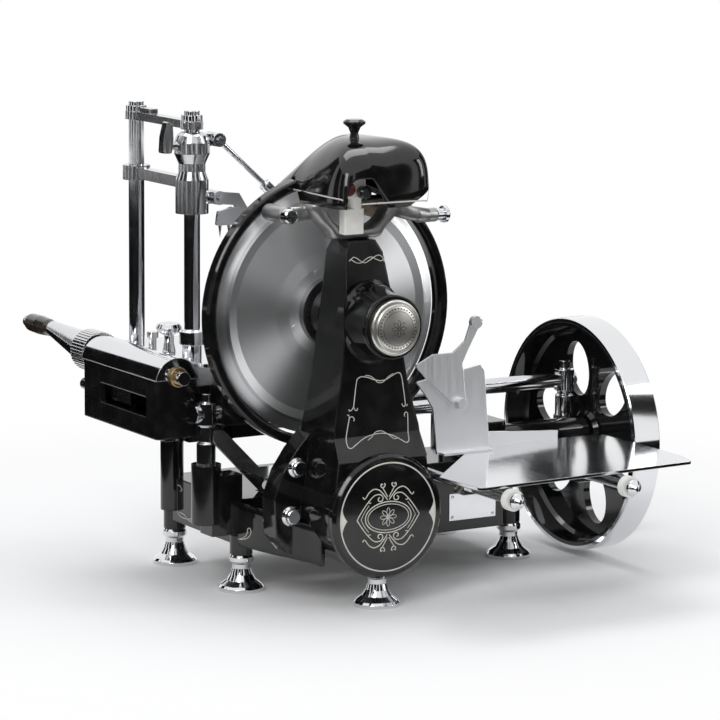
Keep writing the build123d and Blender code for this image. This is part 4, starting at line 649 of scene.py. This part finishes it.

# %% [markdown]
# ### Which finish goes where
#
# The record names its finishes in slots. The solids get their finishes by name,
# and what is left over is printed.

# %% Give each solid its finish
finish_of = {
    enamel: ["base_casting", "gear_column", "round_cover", "blade_guard_ring", "sharpener_hood", "hood_knob",
             "carriage"],
    bright: ["feet", "hub_cap", "rail_posts", "acorn_nuts", "guard_knob_left", "guard_knob_right",
             "screw_cover", "guide_columns", "bridge_nuts", "column_bolts", "crank_spindle", "table_knob",
             "feed_screw"],
    rail_steel: ["front_rail", "rear_rail", "plate_rods", "press_rod", "spike_plate", "feed_dial"],
    tray_steel: ["receiving_plate", "drip_tray"],
    deflector_steel: ["deflector_plate", "deflector_lever"],
    table_steel: ["meat_table"],
    holder_steel: ["column_bridge", "holder_yoke", "clamp_lever", "pusher_arm"],
    gear_steel: ["flywheel_shaft", "lay_shaft", "bevel_pinion", "cross_shaft", "bevel_gear",
                 "drive_sprocket", "crank_disc", "blade_shaft", "blade_sprocket", "rocker_lever",
                 "drive_chain", "blade_bearings"],
    blade_steel: ["blade"],
    wheel_finish: ["flywheel"],
    grey_cast: ["sharpener_bracket"],
    clay: ["stone_housing"],
    stone: ["grinding_stone", "honing_stone"],
    red_button: ["grinding_button"],
    black_button: ["honing_button"],
    nylon: ["plate_spacers"],
    bronze: ["shaft_bushes", "feed_bush"],
    grip_finish: ["crank_handle", "feed_grip"],
}
dressed = []
for finish, names in finish_of.items():
    for name in names:
        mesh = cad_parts[name].data
        if len(mesh.materials):
            mesh.materials[0] = finish
        else:
            mesh.materials.append(finish)
        dressed.append(name)
print("dressed", len(dressed), "solids; left over:", sorted(set(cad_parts) - set(dressed)))

# %% [markdown]
# ## Shaped castings
#
# Three castings are soft shapes that flat-faced solids only stand for: the
# domed hood, the fork that carries it and the swelling round the blade's hub.
# Each is a grid of points with a formula. The first two stand for a solid, as
# thick as it is and where it is. The swelling is added to the column.


# %% Hood
def turned_about(exponent, angle):
    """Point of a rounded rectangle of half sides 1.

    It is the cosine and the sine raised to 2 over the exponent, with their signs kept.
    """
    c, s = np.cos(angle), np.sin(angle)
    return np.sign(c) * np.abs(c) ** (2 / exponent), np.sign(s) * np.abs(s) ** (2 / exponent)


hood_low, hood_high = 393.0, 457.5
hood_middle = np.array([-68.5, -122.0])
hood_half = np.array([54.5, 79.5])
hood_square = 7.0
arch_x, arch_half, arch_rise, arch_back = -94.5, 19.0, 29.0, -170.0
corner_x, corner_length, corner_rise = -46.0, 26.0, 15.0
corner_y, corner_depth = -150.0, 30.0
slot_y, slot_half, slot_rise_left, slot_rise_right, slot_from_middle = -99.0, 10.5, 22.0, 14.0, 45.0


def hood_fullness(ux, uy):
    """Exponent of the dome's side profile: lowest on the left, which leans in, highest at the front right."""
    return 2.8 + 0.9 * ux - 0.9 * uy


def hood_rim(x, y):
    """Lower edge of the hood.

    It is level, with an arch round the two buttons, a cut that rises to the right front corner
    and a slot in each side that the guard ring passes through.
    """
    arch = arch_rise * np.clip(1 - np.abs((x - arch_x) / arch_half) ** 3.5, 0, 1) ** (1 / 3.5)
    corner = corner_rise * np.clip((x - corner_x) / corner_length, 0, 1)
    front = np.clip((corner_y - y) / corner_depth, 0, 1)
    slot_rise = np.where(x < hood_middle[0], slot_rise_left, slot_rise_right)
    slot = slot_rise * np.clip(1 - np.abs((y - slot_y) / slot_half) ** 4, 0, 1) ** 0.25
    edge = hood_low + 1.0 + np.where(y < arch_back, arch, 0.0) + corner * front
    return edge + np.where(abs(x - hood_middle[0]) > slot_from_middle, slot, 0.0)


def hood_sheet(inset, count=360, rows=36):
    """Dome: a rounded rectangle shrinks as cos(p)^(2/n) while it rises as sin(p)^(2/n).

    The exponent n is larger where the side is fuller.
    """
    angle = np.linspace(0, 2 * np.pi, count, endpoint=False)
    ux, uy = turned_about(hood_square, angle)
    full = hood_fullness(ux, uy)
    half = hood_half - inset
    rise = hood_high - hood_low - inset
    x0, y0 = hood_middle[0] + half[0] * ux, hood_middle[1] + half[1] * uy
    low = np.arcsin(np.clip((hood_rim(x0, y0) - hood_low) / rise, 0, 1) ** (full / 2))
    p = low[None, :] + (np.pi / 2 - low)[None, :] * np.linspace(0, 1, rows)[:, None]
    shrink = np.cos(p) ** (2 / full)
    points = np.empty((rows, count, 3))
    points[..., 0] = hood_middle[0] + half[0] * ux * shrink
    points[..., 1] = hood_middle[1] + half[1] * uy * shrink
    points[..., 2] = hood_low + rise * np.sin(p) ** (2 / full)
    points[-1] = (hood_middle[0], hood_middle[1], hood_high - inset)
    return points


def hood_cross_bar():
    """Bar inside the hood that stands on the fork's two arms: a rounded rectangle carried along X."""
    x = np.linspace(-118.0, -22.0, 9)
    y, z, around = -148.0, 397.4, 24
    uy, uz = turned_about(5.0, np.linspace(0, 2 * np.pi, around, endpoint=False))
    points = np.empty((len(x), around, 3))
    points[..., 0] = x[:, None]
    points[..., 1] = y + 9.0 * uy
    points[..., 2] = z + 2.4 * uz
    first, last = (np.full((1, around, 3), (end, y, z)) for end in (x[0], x[-1]))
    return grid(np.vstack([first, points, last]), closed_v=True)


outer_sheet, inner_sheet = hood_sheet(0.0), hood_sheet(3.0)
hood_grid = np.vstack([inner_sheet[::-1], outer_sheet])
hood_dome = make_piece("hood_dome", [grid(hood_grid, closed_v=True), hood_cross_bar()], enamel, "hood_body")
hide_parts("sharpener_hood")

# %% Places on the hood's outside


def on_hood(angle, height):
    """Place on the hood's outside at an angle round its middle and a height, with the way it faces."""
    ux, uy = turned_about(hood_square, angle)
    full = hood_fullness(ux, uy)
    p = np.arcsin(np.clip((height - hood_low) / (hood_high - hood_low), 0, 1) ** (full / 2))
    shrink = np.cos(p) ** (2 / full)
    x = hood_middle[0] + hood_half[0] * ux * shrink
    y = hood_middle[1] + hood_half[1] * uy * shrink
    place = np.stack([x, y, height], 1)
    along = np.gradient(place, axis=0)
    normal = np.cross(along, (0, 0, -1.0))
    return place, normal / np.linalg.norm(normal, axis=1)[:, None]


def line_on_hood(angles, heights, steps=90):
    """Line on the hood through angles in degrees and their heights."""
    at = np.linspace(0, 1, steps)
    known = np.linspace(0, 1, len(angles))
    return on_hood(np.radians(np.interp(at, known, angles)), np.interp(at, known, heights))


print("hood", hood_low, "to", hood_high, "mm")


# %% [markdown]
# ### Fork
#
# The fork carries the hood. Its prongs are one bar between two curves, and its
# arms end in turned barrels, so a bar and a turned shape make all of it.

# %% Fork and its two barrels
def capped(points):
    """Closed bar from rings of points: at each end the last ring closes to its own middle."""
    around = points.shape[1]
    first, last = points[:1].mean(axis=1, keepdims=True), points[-1:].mean(axis=1, keepdims=True)
    return grid(np.vstack([np.repeat(first, around, 1), points, np.repeat(last, around, 1)]), closed_v=True)


def rounded_bar(outer, inner, front, back, exponent=3.2, around=28):
    """Bar between two edges drawn in X and Z.

    At each station a rounded rectangle spans the two edges and the two depths.
    """
    outer, inner = np.asarray(outer, float), np.asarray(inner, float)
    middle, half = (outer + inner) / 2, (outer - inner) / 2
    us, ut = turned_about(exponent, np.linspace(0, 2 * np.pi, around, endpoint=False))
    points = np.empty((len(outer), around, 3))
    points[..., 0] = middle[:, :1] + half[:, :1] * us
    points[..., 2] = middle[:, 1:] + half[:, 1:] * us
    points[..., 1] = (front + back) / 2 + (back - front) / 2 * ut
    return capped(points)


def turned(profile, axis, centre, around=48):
    """Turned shape: (station, radius) points swept round an axis through a centre."""
    profile = np.asarray(profile, float)
    t = np.linspace(0, 2 * np.pi, around, endpoint=False)
    first, second = [i for i in range(3) if i != axis]
    points = np.empty((len(profile), around, 3))
    points[..., axis] = profile[:, :1]
    points[..., first] = centre[first] + profile[:, 1:] * np.cos(t)
    points[..., second] = centre[second] + profile[:, 1:] * np.sin(t)
    return grid(points, closed_v=True)


def eased(profile, radius=1.0):
    """Profile with each inner corner replaced by three points on the curve that joins its two sides."""
    p = np.asarray(profile, float)
    out = [p[0]]
    for before, here, after in zip(p[:-2], p[1:-1], p[2:]):
        a, b = before - here, after - here
        la, lb = np.linalg.norm(a), np.linalg.norm(b)
        if min(la, lb) < 1e-6:
            out.append(here)
            continue
        r = min(radius, 0.45 * la, 0.45 * lb)
        start, end = here + a / la * r, here + b / lb * r
        out += [start, 0.25 * start + 0.5 * here + 0.25 * end, end]
    out.append(p[-1])
    return np.array(out)


fork_outer = smooth_path([
    (-130.5, 394.5), (-129.0, 388.0), (-121.0, 378.0), (-110.0, 368.0), (-104.0, 360.0), (-90.0, 358.8),
    (-78.0, 358.8), (-66.0, 358.8), (-52.0, 360.0), (-46.0, 368.0), (-35.0, 378.0), (-27.0, 388.0),
    (-25.5, 394.5)])
fork_inner = smooth_path([
    (-111.5, 394.5), (-111.0, 389.0), (-108.0, 382.5), (-102.0, 376.0), (-94.0, 371.8), (-86.0, 370.4),
    (-78.0, 370.2), (-70.0, 370.4), (-62.0, 371.8), (-54.0, 376.0), (-48.0, 382.5), (-45.0, 389.0),
    (-44.5, 394.5)])
left_top = [(-122.0, 393.0), (-136.0, 392.5), (-151.0, 392.0)]
left_under = [(-122.0, 379.0), (-136.0, 378.5), (-151.0, 378.0)]
right_top = [(-34.0, 393.0), (-10.0, 387.0), (12.0, 383.0)]
right_under = [(-34.0, 379.0), (-10.0, 372.0), (12.0, 369.0)]
left_pin = [(-146.0, 0), (-146.0, 3.05), (-146.0, 8.5), (-110.0, 8.5), (-110.0, 0)]
right_pin = [(0.0, 0), (0.0, 7.0), (22.0, 7.0), (22.0, 0)]
fork_parts = [
    rounded_bar(fork_outer, fork_inner, -160.0, -136.0),
    rounded_bar(left_top, left_under, -145.0, -137.0),
    rounded_bar(right_top, right_under, -147.0, -137.0),
    turned(eased(left_pin, 1.2), 1, (-151.0, 0, 385.0)),
    turned(eased(right_pin, 1.2), 0, (0, -141.0, 376.0)),
]
fork = make_piece("hood_fork", fork_parts, grey_cast, "frame")
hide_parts("sharpener_bracket")


# %% [markdown]
# ### Swelling round the hub
#
# The casting swells round the hub. A cylinder would meet the column at a hard
# corner, so the radius opens along a quarter circle.

# %% Swelling round the hub
def hub_swelling(rows=14, around=96):
    """Flare from the hub's round end to the column.

    The radius of 31.3 at the front opens along a quarter circle to an upright oval.
    """
    t = np.linspace(0, 2 * np.pi, around, endpoint=False)
    s = np.linspace(0, 1, rows)[:, None]
    open_out = 1 - np.cos(s * np.pi / 2)
    wide = 31.3 + open_out * (1.0 + 9.0 * np.abs(np.sin(t)) ** 1.5)
    points = np.empty((rows, around, 3))
    points[..., 0] = column_x + wide * np.cos(t)
    points[..., 1] = -225.0 + 38.0 * np.sin(s * np.pi / 2) + 4.0 * s * np.sin(t)
    points[..., 2] = blade_z + wide * np.sin(t)
    inside = points.copy()
    inside[..., 0] = column_x + 29.0 * np.cos(t)
    inside[..., 2] = blade_z + 29.0 * np.sin(t)
    return grid(np.vstack([points, inside[::-1]]), closed_u=True, closed_v=True)


make_piece("hub_swelling", [hub_swelling()], enamel, "frame")

# %% [markdown]
# ## Painted lines
#
# Lining is done with a long brush and leaves a raised, slightly crowned ribbon
# of paint. It could be painted in the material, but a mask has to be drawn in
# the casting's own coordinates and blurs up close. A thin ribbon of real
# thickness, carried along a path that lies on the casting, is as sharp as the
# brush's line from any side.


# %% Paths and ribbons
def ribbon(path, normal, width=1.1, height=0.22, sink=0.12):
    """Crowned ribbon carried along a path and capped.

    Six points across it are lifted along the surface's normal.
    """
    path = np.asarray(path, float)
    normal = np.broadcast_to(np.asarray(normal, float), path.shape)
    along = np.gradient(path, axis=0)
    along /= np.linalg.norm(along, axis=1)[:, None]
    side = np.cross(along, normal)
    side /= np.linalg.norm(side, axis=1)[:, None]
    across = np.array([-0.5, -0.36, 0.0, 0.36, 0.5, 0.0]) * width
    lift = np.array([-sink, height * 0.7, height, height * 0.7, -sink, -sink])
    sideways = side[:, None, :] * across[None, :, None]
    points = path[:, None, :] + sideways + normal[:, None, :] * lift[None, :, None]
    vertices, faces = grid(points, closed_v=True)
    last = len(vertices) - 6
    near_caps = [[0, 1, 2, 5], [2, 3, 4, 5]]
    far_caps = [[last, last + 5, last + 2, last + 1], [last + 2, last + 5, last + 4, last + 3]]
    caps = np.array(near_caps + far_caps)
    return vertices, np.vstack([faces, caps])


def on_column(path_xz):
    """Points of the column's front face for points in X and Z, with the face's normal there."""
    path_xz = np.asarray(path_xz, float)
    y = np.interp(path_xz[:, 1], column_face[:, 0], column_face[:, 1])
    slope = np.interp(path_xz[:, 1], column_face[:, 0], np.gradient(column_face[:, 1], column_face[:, 0]))
    normal = np.stack([np.zeros_like(y), -np.ones_like(y), slope], 1)
    normal /= np.linalg.norm(normal, axis=1)[:, None]
    return np.stack([path_xz[:, 0], y, path_xz[:, 1]], 1), normal


print("ribbon helpers ready")

# %% [markdown]
# ### Panel on the column
#
# The column carries a framed panel: two sides that lean in with the casting, a
# top and a bottom that dip and rise in the middle, and small hooks where each
# side is broken. All points were read on the column's own face.

# %% Panel lines
panel_top = [(-98.6, 222.0), (-97.0, 226.5), (-92.5, 228.6), (-86, 227.6), (-79, 225.0), (-72, 223.2),
             (-70, 223.0), (-64, 224.0), (-57, 227.2), (-51, 229.4), (-47.6, 227.8), (-46.2, 223.0)]
panel_left_high = [(-98.6, 222.0), (-100.4, 212.0), (-102.5, 200.1)]
panel_right_high = [(-46.2, 223.0), (-44.8, 212.0), (-43.5, 198.0)]
panel_left_low = [(-108.0, 189.6), (-111.6, 178.0), (-114.2, 167.5)]
panel_bottom = [(-114.2, 167.5), (-113.6, 162.5), (-110.0, 161.2), (-103, 164.6), (-94, 168.8), (-84, 171.4),
                (-72, 172.0), (-62, 169.4), (-54, 165.2), (-48.0, 161.6), (-44.4, 163.0), (-43.2, 168.0)]
panel_right_low = [(-43.2, 168.0), (-42.2, 178.0), (-41.6, 189.0)]
hooks = [
    [(-102.5, 200.1), (-104.6, 197.4), (-107.4, 196.4), (-107.9, 198.2)],
    [(-102.5, 200.1), (-101.2, 197.0), (-98.9, 196.2), (-98.2, 198.6)],
    [(-108.0, 189.6), (-108.6, 192.6), (-110.4, 192.4)],
    [(-108.0, 189.6), (-105.0, 190.8), (-102.6, 188.4), (-103.6, 186.2)],
    [(-43.5, 198.0), (-45.0, 195.6), (-47.0, 197.0), (-47.2, 199.0)],
    [(-43.5, 198.0), (-42.4, 196.0), (-41.0, 197.6)],
    [(-41.6, 189.0), (-43.8, 190.2), (-45.6, 187.8), (-45.0, 185.6)],
]
knots = [
    [(-88, 229.6), (-82, 228.4), (-77, 224.6), (-74, 221.6), (-68, 221.6), (-62, 226.2), (-56, 229.0)],
    [(-90, 166.8), (-84, 170.0), (-80, 173.6), (-73, 174.4), (-66, 170.4), (-60, 166.0), (-55, 166.6)],
]
frame_lines = [panel_top, panel_left_high, panel_right_high, panel_left_low, panel_bottom, panel_right_low]
panel_parts = []
for strokes, width in ((frame_lines, 1.15), (hooks + knots, 0.95)):
    for line in strokes:
        place, normal = on_column(smooth_path(line))
        panel_parts.append(ribbon(place, normal, width))
make_piece("column_panel_lines", panel_parts, cream, "frame")

# %% [markdown]
# ### Ornament on the round cover
#
# The round cover has a painted ring and, inside it, an oval frame with scrolls.
# The scrolls are drawn once for a quarter and mirrored, as a painter's stencil
# is. The middle carries an eight-petalled flower of this drawing's own.

# %% Cover lines
def circle_path(radius_x, radius_z, start=0.0, end=360.0, count=96):
    """Ellipse: X is its half width times the cosine, Z its half height times the sine."""
    t = np.radians(np.linspace(start, end, count))
    return np.stack([radius_x * np.cos(t), radius_z * np.sin(t)], 1)


def on_cover(path):
    """Points of the flat cover for points measured from its centre."""
    path = np.asarray(path, float)
    return np.stack([column_x + path[:, 0], np.full(len(path), cover_front), axle_z + path[:, 1]], 1)


def four_ways(path):
    """A path and its mirror images left to right and top to bottom."""
    path = np.asarray(path, float)
    return [path * np.array(sign) for sign in ((1, 1), (-1, 1), (1, -1), (-1, -1))]


cover_lines = [
    (circle_path(53.8, 53.8, count=161), 1.2),
    (circle_path(26.0, 15.4), 0.95),
    (circle_path(23.2, 12.8), 0.7),
]
quarter_lines = [
    ([(35.5, 0), (30, 8), (24, 15.5), (19, 20.5)], 0.9),
    ([(31.0, 0), (27, 7), (22, 13.5)], 0.6),
    ([(19, 20.5), (15, 23.0), (9.5, 23.2), (6.2, 20.2), (7.2, 16.8), (10.6, 16.6), (11.6, 19.0),
      (9.8, 20.4)], 0.9),
    ([(29, 22.5), (27.6, 20.4), (25.4, 21.6), (22, 26.0), (16.5, 29.0), (10.5, 27.6), (5.8, 23.2),
      (1.0, 17.4)], 0.9),
    ([(0.8, 20.0), (3.6, 24.8), (6.6, 29.4)], 0.8),
    ([(6.6, 29.4), (8.6, 31.2), (8.2, 33.4), (6.4, 32.6)], 0.9),
    ([(6.6, 29.4), (4.6, 30.8), (3.8, 33.0), (5.2, 33.8)], 0.9),
    ([(19.5, 16.0), (21.8, 15.6), (22.0, 18.0)], 0.7),
]
for line, width in quarter_lines:
    cover_lines += [(path, width) for path in four_ways(smooth_path(line))]
eighth_turns = [np.array([[cos(t), sin(t)], [-sin(t), cos(t)]]) for t in np.radians(np.arange(8) * 45.0)]
petal = circle_path(4.2, 1.7, count=25) + np.array([5.0, 0])
for spin in eighth_turns:
    cover_lines.append((petal @ spin, 0.55))
cover_lines.append((circle_path(1.2, 1.2, count=17), 0.8))
brush = 1.45
cover_ribbons = [ribbon(on_cover(path), (0, -1, 0), width * brush) for path, width in cover_lines]
make_piece("cover_lines", cover_ribbons, cream, "frame")

# %% [markdown]
# ### Filled points
#
# Two solid patches of paint lie inside the ring's sides. They are thin closed shells,
# because a ribbon has the same width all along.

# %% Filled points at the ring's sides
def lens_fill(side):
    """Filled three-sided shape inside the ring.

    Its outer edge follows the ring. With t from -1 to 1 up the shape, its inner edge is drawn in
    by 7 times (1 - |t|)^1.6, so it comes to a point in the middle.
    """
    t = np.linspace(-1, 1, 25)
    z = t * 14.0
    outer = np.sqrt(53.4**2 - z**2)
    inner = outer - 7.0 * (1 - np.abs(t)) ** 1.6
    across = np.linspace(0, 1, 5)[None, :]
    x = outer[:, None] * (1 - across) + inner[:, None] * across
    height = axle_z + np.repeat(z[:, None], 5, 1)
    points = np.stack([column_x + side * x, np.full_like(x, cover_front - 0.16), height], -1)
    back = points.copy()
    back[..., 1] = cover_front + 0.1
    front_vertices, front_faces = grid(points)
    outer_edge, inner_edge = np.arange(25) * 5, np.arange(23, -1, -1) * 5 + 4
    rim = np.concatenate([outer_edge, 24 * 5 + np.arange(1, 5), inner_edge, np.arange(3, 0, -1)])
    count = len(front_vertices)
    next_rim = np.roll(rim, -1)
    walls = np.stack([rim, next_rim, next_rim + count, rim + count], 1)
    faces = np.vstack([front_faces, front_faces[:, ::-1] + count, walls])
    return np.vstack([front_vertices, back.reshape(-1, 3)]), faces


make_piece("cover_side_points", [lens_fill(-1), lens_fill(1)], cream, "frame", smooth=False)

# %% [markdown]
# ### Hub cap
#
# The cap over the hub is turned, so it is a profile carried round the axle. The
# beads and fine rings on its dome are placed by the dome's own formula.

# %% Hub cap with its bead ring
cap_front, dome_high, dome_radius = -233.0, 4.6, 23.0


def cap_height(radius):
    """Y of the cap's dome at a distance from its middle: a flat ellipse's quarter."""
    return cap_front - dome_high * np.sqrt(np.clip(1 - (radius / dome_radius) ** 2, 0, 1))


cap_profile = [(-228.0, 0.0), (-228.0, 27.5), (-231.0, 27.5), (-232.6, 26.6), (-233.2, 25.0), (-232.4, 24.0),
               (-232.8, 23.0)]
cap_profile += [(cap_height(r), r) for r in np.linspace(22.8, 0.0, 22)]
medal_silver = chrome("medallion_silver", (0.80, 0.78, 0.73), (0.28, 0.38))
cap_shape = turned(eased(cap_profile, 0.6), 1, (column_x, 0, blade_z), 96)
hub_cap = make_piece("hub_medallion", [cap_shape], medal_silver, "frame")
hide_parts("hub_cap")


def on_cap(path):
    """Points of the dome for points measured from its centre, and the way it faces."""
    path = np.asarray(path, float)
    radius = np.linalg.norm(path, axis=1)
    place = np.stack([column_x + path[:, 0], cap_height(radius), blade_z + path[:, 1]], 1)
    return place, np.broadcast_to((0.0, -1.0, 0.0), place.shape)


def bead(x, y, z, radius, high, count=12):
    """Half round bead that faces -Y: radius times the cosine round it, height times the sine."""
    p = np.linspace(0, np.pi / 2, 5)[:, None]
    t = np.linspace(0, 2 * np.pi, count, endpoint=False)[None, :]
    dome = np.empty((5, count, 3))
    dome[..., 0] = x + radius * np.cos(p) * np.cos(t)
    dome[..., 1] = y - high * np.sin(p)
    dome[..., 2] = z + radius * np.cos(p) * np.sin(t)
    return grid(np.vstack([np.broadcast_to((x, y + 0.2, z), (1, count, 3)), dome]), closed_v=True)


bead_circle = 19.4
cap_beads = []
for turn in np.linspace(0, 2 * np.pi, 36, endpoint=False):
    bead_x, bead_z = column_x + bead_circle * cos(turn), blade_z + bead_circle * sin(turn)
    cap_beads.append(bead(bead_x, cap_height(bead_circle) + 0.1, bead_z, 0.85, 0.6))
make_piece("cap_beads", cap_beads, black_button, "frame")
fine_line = (0.5, 0.16)
cap_rings = [ribbon(*on_cap(circle_path(r, r, count=97)), *fine_line) for r in (16.6, 21.9)]
for spin in eighth_turns:
    leaf = circle_path(3.6, 1.5, count=25) @ spin + np.array([4.6, 0]) @ spin
    cap_rings.append(ribbon(*on_cap(leaf), *fine_line))
make_piece("cap_rings", cap_rings, black_button, "frame")

# %% [markdown]
# ### Label plate
#
# A small plate is pinned to the front. It is bare, with four round pins.

# %% Bare label plate and its four pins
plate_face = -125.0
plate_points = np.array([[(x, plate_face + d, z) for d, x, z in row] for row in [
    [(0.0, 52, 58), (-0.9, 52, 58), (-0.9, 108, 58), (0.0, 108, 58)],
    [(0.0, 52, 86), (-0.9, 52, 86), (-0.9, 108, 86), (0.0, 108, 86)]]], float)
plate_caps = (plate_points.reshape(-1, 3), np.array([[0, 1, 2, 3], [7, 6, 5, 4]]))
label = [grid(plate_points, closed_v=True), plate_caps]
label += [bead(x, plate_face - 0.8, z, 1.6, 0.9) for x in (55.5, 104.5) for z in (61.5, 82.5)]
make_piece("bare_label_plate", label, tray_steel, "frame", smooth=False)

# %% [markdown]
# ### Skirt
#
# The base's left end runs into the column's foot by a curved wall. It is a
# rounded rectangle carried along a curve, and painted scrolls lie on it.

# %% Skirt that joins the base to the column's foot
skirt_way = smooth_path([
    (-168.0, -60.0), (-168.0, -78.0), (-166.0, -96.0), (-161.0, -116.0), (-153.0, -136.0), (-144.0, -154.0),
    (-136.0, -168.0), (-131.0, -180.0)], 8)


def skirt(way, thick=7.0, rows=14):
    """Curved wall along a way in X and Y.

    Its foot falls with the square of the way, and its top as a quarter cosine, from base to column.
    """
    along = np.gradient(way, axis=0)
    out = np.stack([along[:, 1], -along[:, 0]], 1) / np.linalg.norm(along, axis=1)[:, None]
    share = np.linspace(0, 1, len(way))
    low = 47.5 - 7.0 * share**2
    high = 91.0 - 14.0 * (1 - np.cos(share * np.pi / 2))
    us, ut = turned_about(7.0, np.linspace(0, 2 * np.pi, rows * 4, endpoint=False))
    points = np.empty((len(way), rows * 4, 3))
    points[..., :2] = way[:, None, :] + out[:, None, :] * (thick / 2 * (us - 1))[None, :, None]
    points[..., 2] = ((low + high) / 2)[:, None] + ((high - low) / 2)[:, None] * ut
    return capped(points)


make_piece("base_skirt", [skirt(skirt_way)], enamel, "frame")

# %% Painted shade for the cross slot in the left knob
# The slot is not cut into the chrome knob: two black ribbons on its end are painted shade where the groove
# would be.
slot_lines = [
    [(-155.6, -156.0, 382.6), (-151.0, -156.0, 385.0), (-146.4, -156.0, 387.4)],
    [(-153.4, -156.0, 389.6), (-151.0, -156.0, 385.0), (-148.6, -156.0, 380.4)],
]
slot_shade_ribbons = [ribbon(line, (0, -1, 0), 1.3, 0.12) for line in slot_lines]
make_piece("knob_slot_painted_shade", slot_shade_ribbons, black_button, "left_knob_body")

# %% Scrolls on the left end of the base
base_left = -168.0
base_scrolls = [
    [(52, 60), (46, 55), (36, 53.5), (24, 55), (12, 58.5), (2, 58.5), (-8, 55), (-20, 53.5),
     (-30, 55.5), (-36, 60)],
    [(46, 58), (36, 57.5), (26, 53.2), (14, 54.2), (2, 58), (-10, 58.5), (-22, 57.5), (-31, 58.5)],
    [(52, 60), (55.5, 68), (56, 80), (52, 85), (45, 86), (40, 82.5), (44, 80.5)],
    [(-36, 60), (-40, 68), (-40.5, 80), (-36, 85), (-29, 86), (-24, 82.5), (-28, 80.5)],
]
scroll_parts = []
for line in base_scrolls:
    path = smooth_path(line)
    place = np.stack([np.full(len(path), base_left), path[:, 0], path[:, 1]], 1)
    scroll_parts.append(ribbon(place, (-1.0, 0.0, 0.0), 1.1))
make_piece("base_end_scrolls", scroll_parts, cream, "frame")

# %% Scrolls on the skirt
way_length = np.concatenate([[0], np.cumsum(np.linalg.norm(np.diff(skirt_way, axis=0), axis=1))])


def on_skirt(path):
    """Points of the skirt's outside for points given as a distance along it and a height."""
    path = np.asarray(path, float)
    x = np.interp(path[:, 0], way_length, skirt_way[:, 0])
    y = np.interp(path[:, 0], way_length, skirt_way[:, 1])
    along = np.gradient(skirt_way, axis=0)
    facing = np.stack([along[:, 1], -along[:, 0]], 1) / np.linalg.norm(along, axis=1)[:, None]
    facing_x = np.interp(path[:, 0], way_length, facing[:, 0])
    facing_y = np.interp(path[:, 0], way_length, facing[:, 1])
    normal = np.stack([facing_x, facing_y, np.zeros(len(path))], 1)
    return np.stack([x, y, path[:, 1]], 1), normal


skirt_scrolls = [
    [(8, 86), (8.5, 70), (9.5, 58), (14, 54.5), (22, 54), (30, 55.5), (37, 58.5), (41, 63.5), (39.5, 68),
     (35.5, 66.5), (36, 62.5)],
    [(11, 57), (18, 53.8), (26, 55.5), (33, 59.5), (36, 65.5)],
    [(58, 80), (62, 70), (68, 60), (76, 53)],
]
skirt_ribbons = [ribbon(*on_skirt(smooth_path(line)), 1.0) for line in skirt_scrolls]
make_piece("skirt_scrolls", skirt_ribbons, cream, "frame")

# %% [markdown]
# ### Last painted lines and a painted highlight
#
# The column's top carries the last painted lines. The pale line along the hood's lip
# is a painted highlight: a cream ribbon where the lip's fold would catch the light.
# Both lie on a surface that has a formula, so each point is placed by it.

# %% Painted highlight along the hood's lip
lip_highlight_left = line_on_hood([128, 150, 180, 205, 222, 229], [405.0, 405.0, 405.0, 404.5, 404.0, 403.0])
lip_highlight_front = line_on_hood([262, 272, 284, 300, 309, 316], [399.0, 399.2, 399.0, 398.0, 404.0, 412.0])
make_piece("hood_lip_painted_highlight", [ribbon(*lip_highlight_left, 1.5), ribbon(*lip_highlight_front, 1.5)], cream, "hood_body")

# %% Knot at the column's top
upper_knot = [(-96.0, 340.1), (-90.1, 343.6), (-83.4, 339.8), (-78.7, 337.6), (-73.3, 339.6), (-63.6, 344.0),
              (-58.5, 342.1), (-56.0, 337.1)]
upper_knot_back = [(-94.5, 342.0), (-88.0, 338.2), (-82.0, 338.0), (-77.0, 341.0), (-71.0, 342.8),
                   (-65.0, 340.0), (-60.0, 338.4), (-57.0, 340.0)]
knot_parts = []
for line in (upper_knot, upper_knot_back):
    place, normal = on_column(smooth_path(line))
    knot_parts.append(ribbon(place, normal, 1.0))
make_piece("column_top_knot", knot_parts, cream, "frame")

# %% [markdown]
#

# %% End of the scene
print("scene ready")
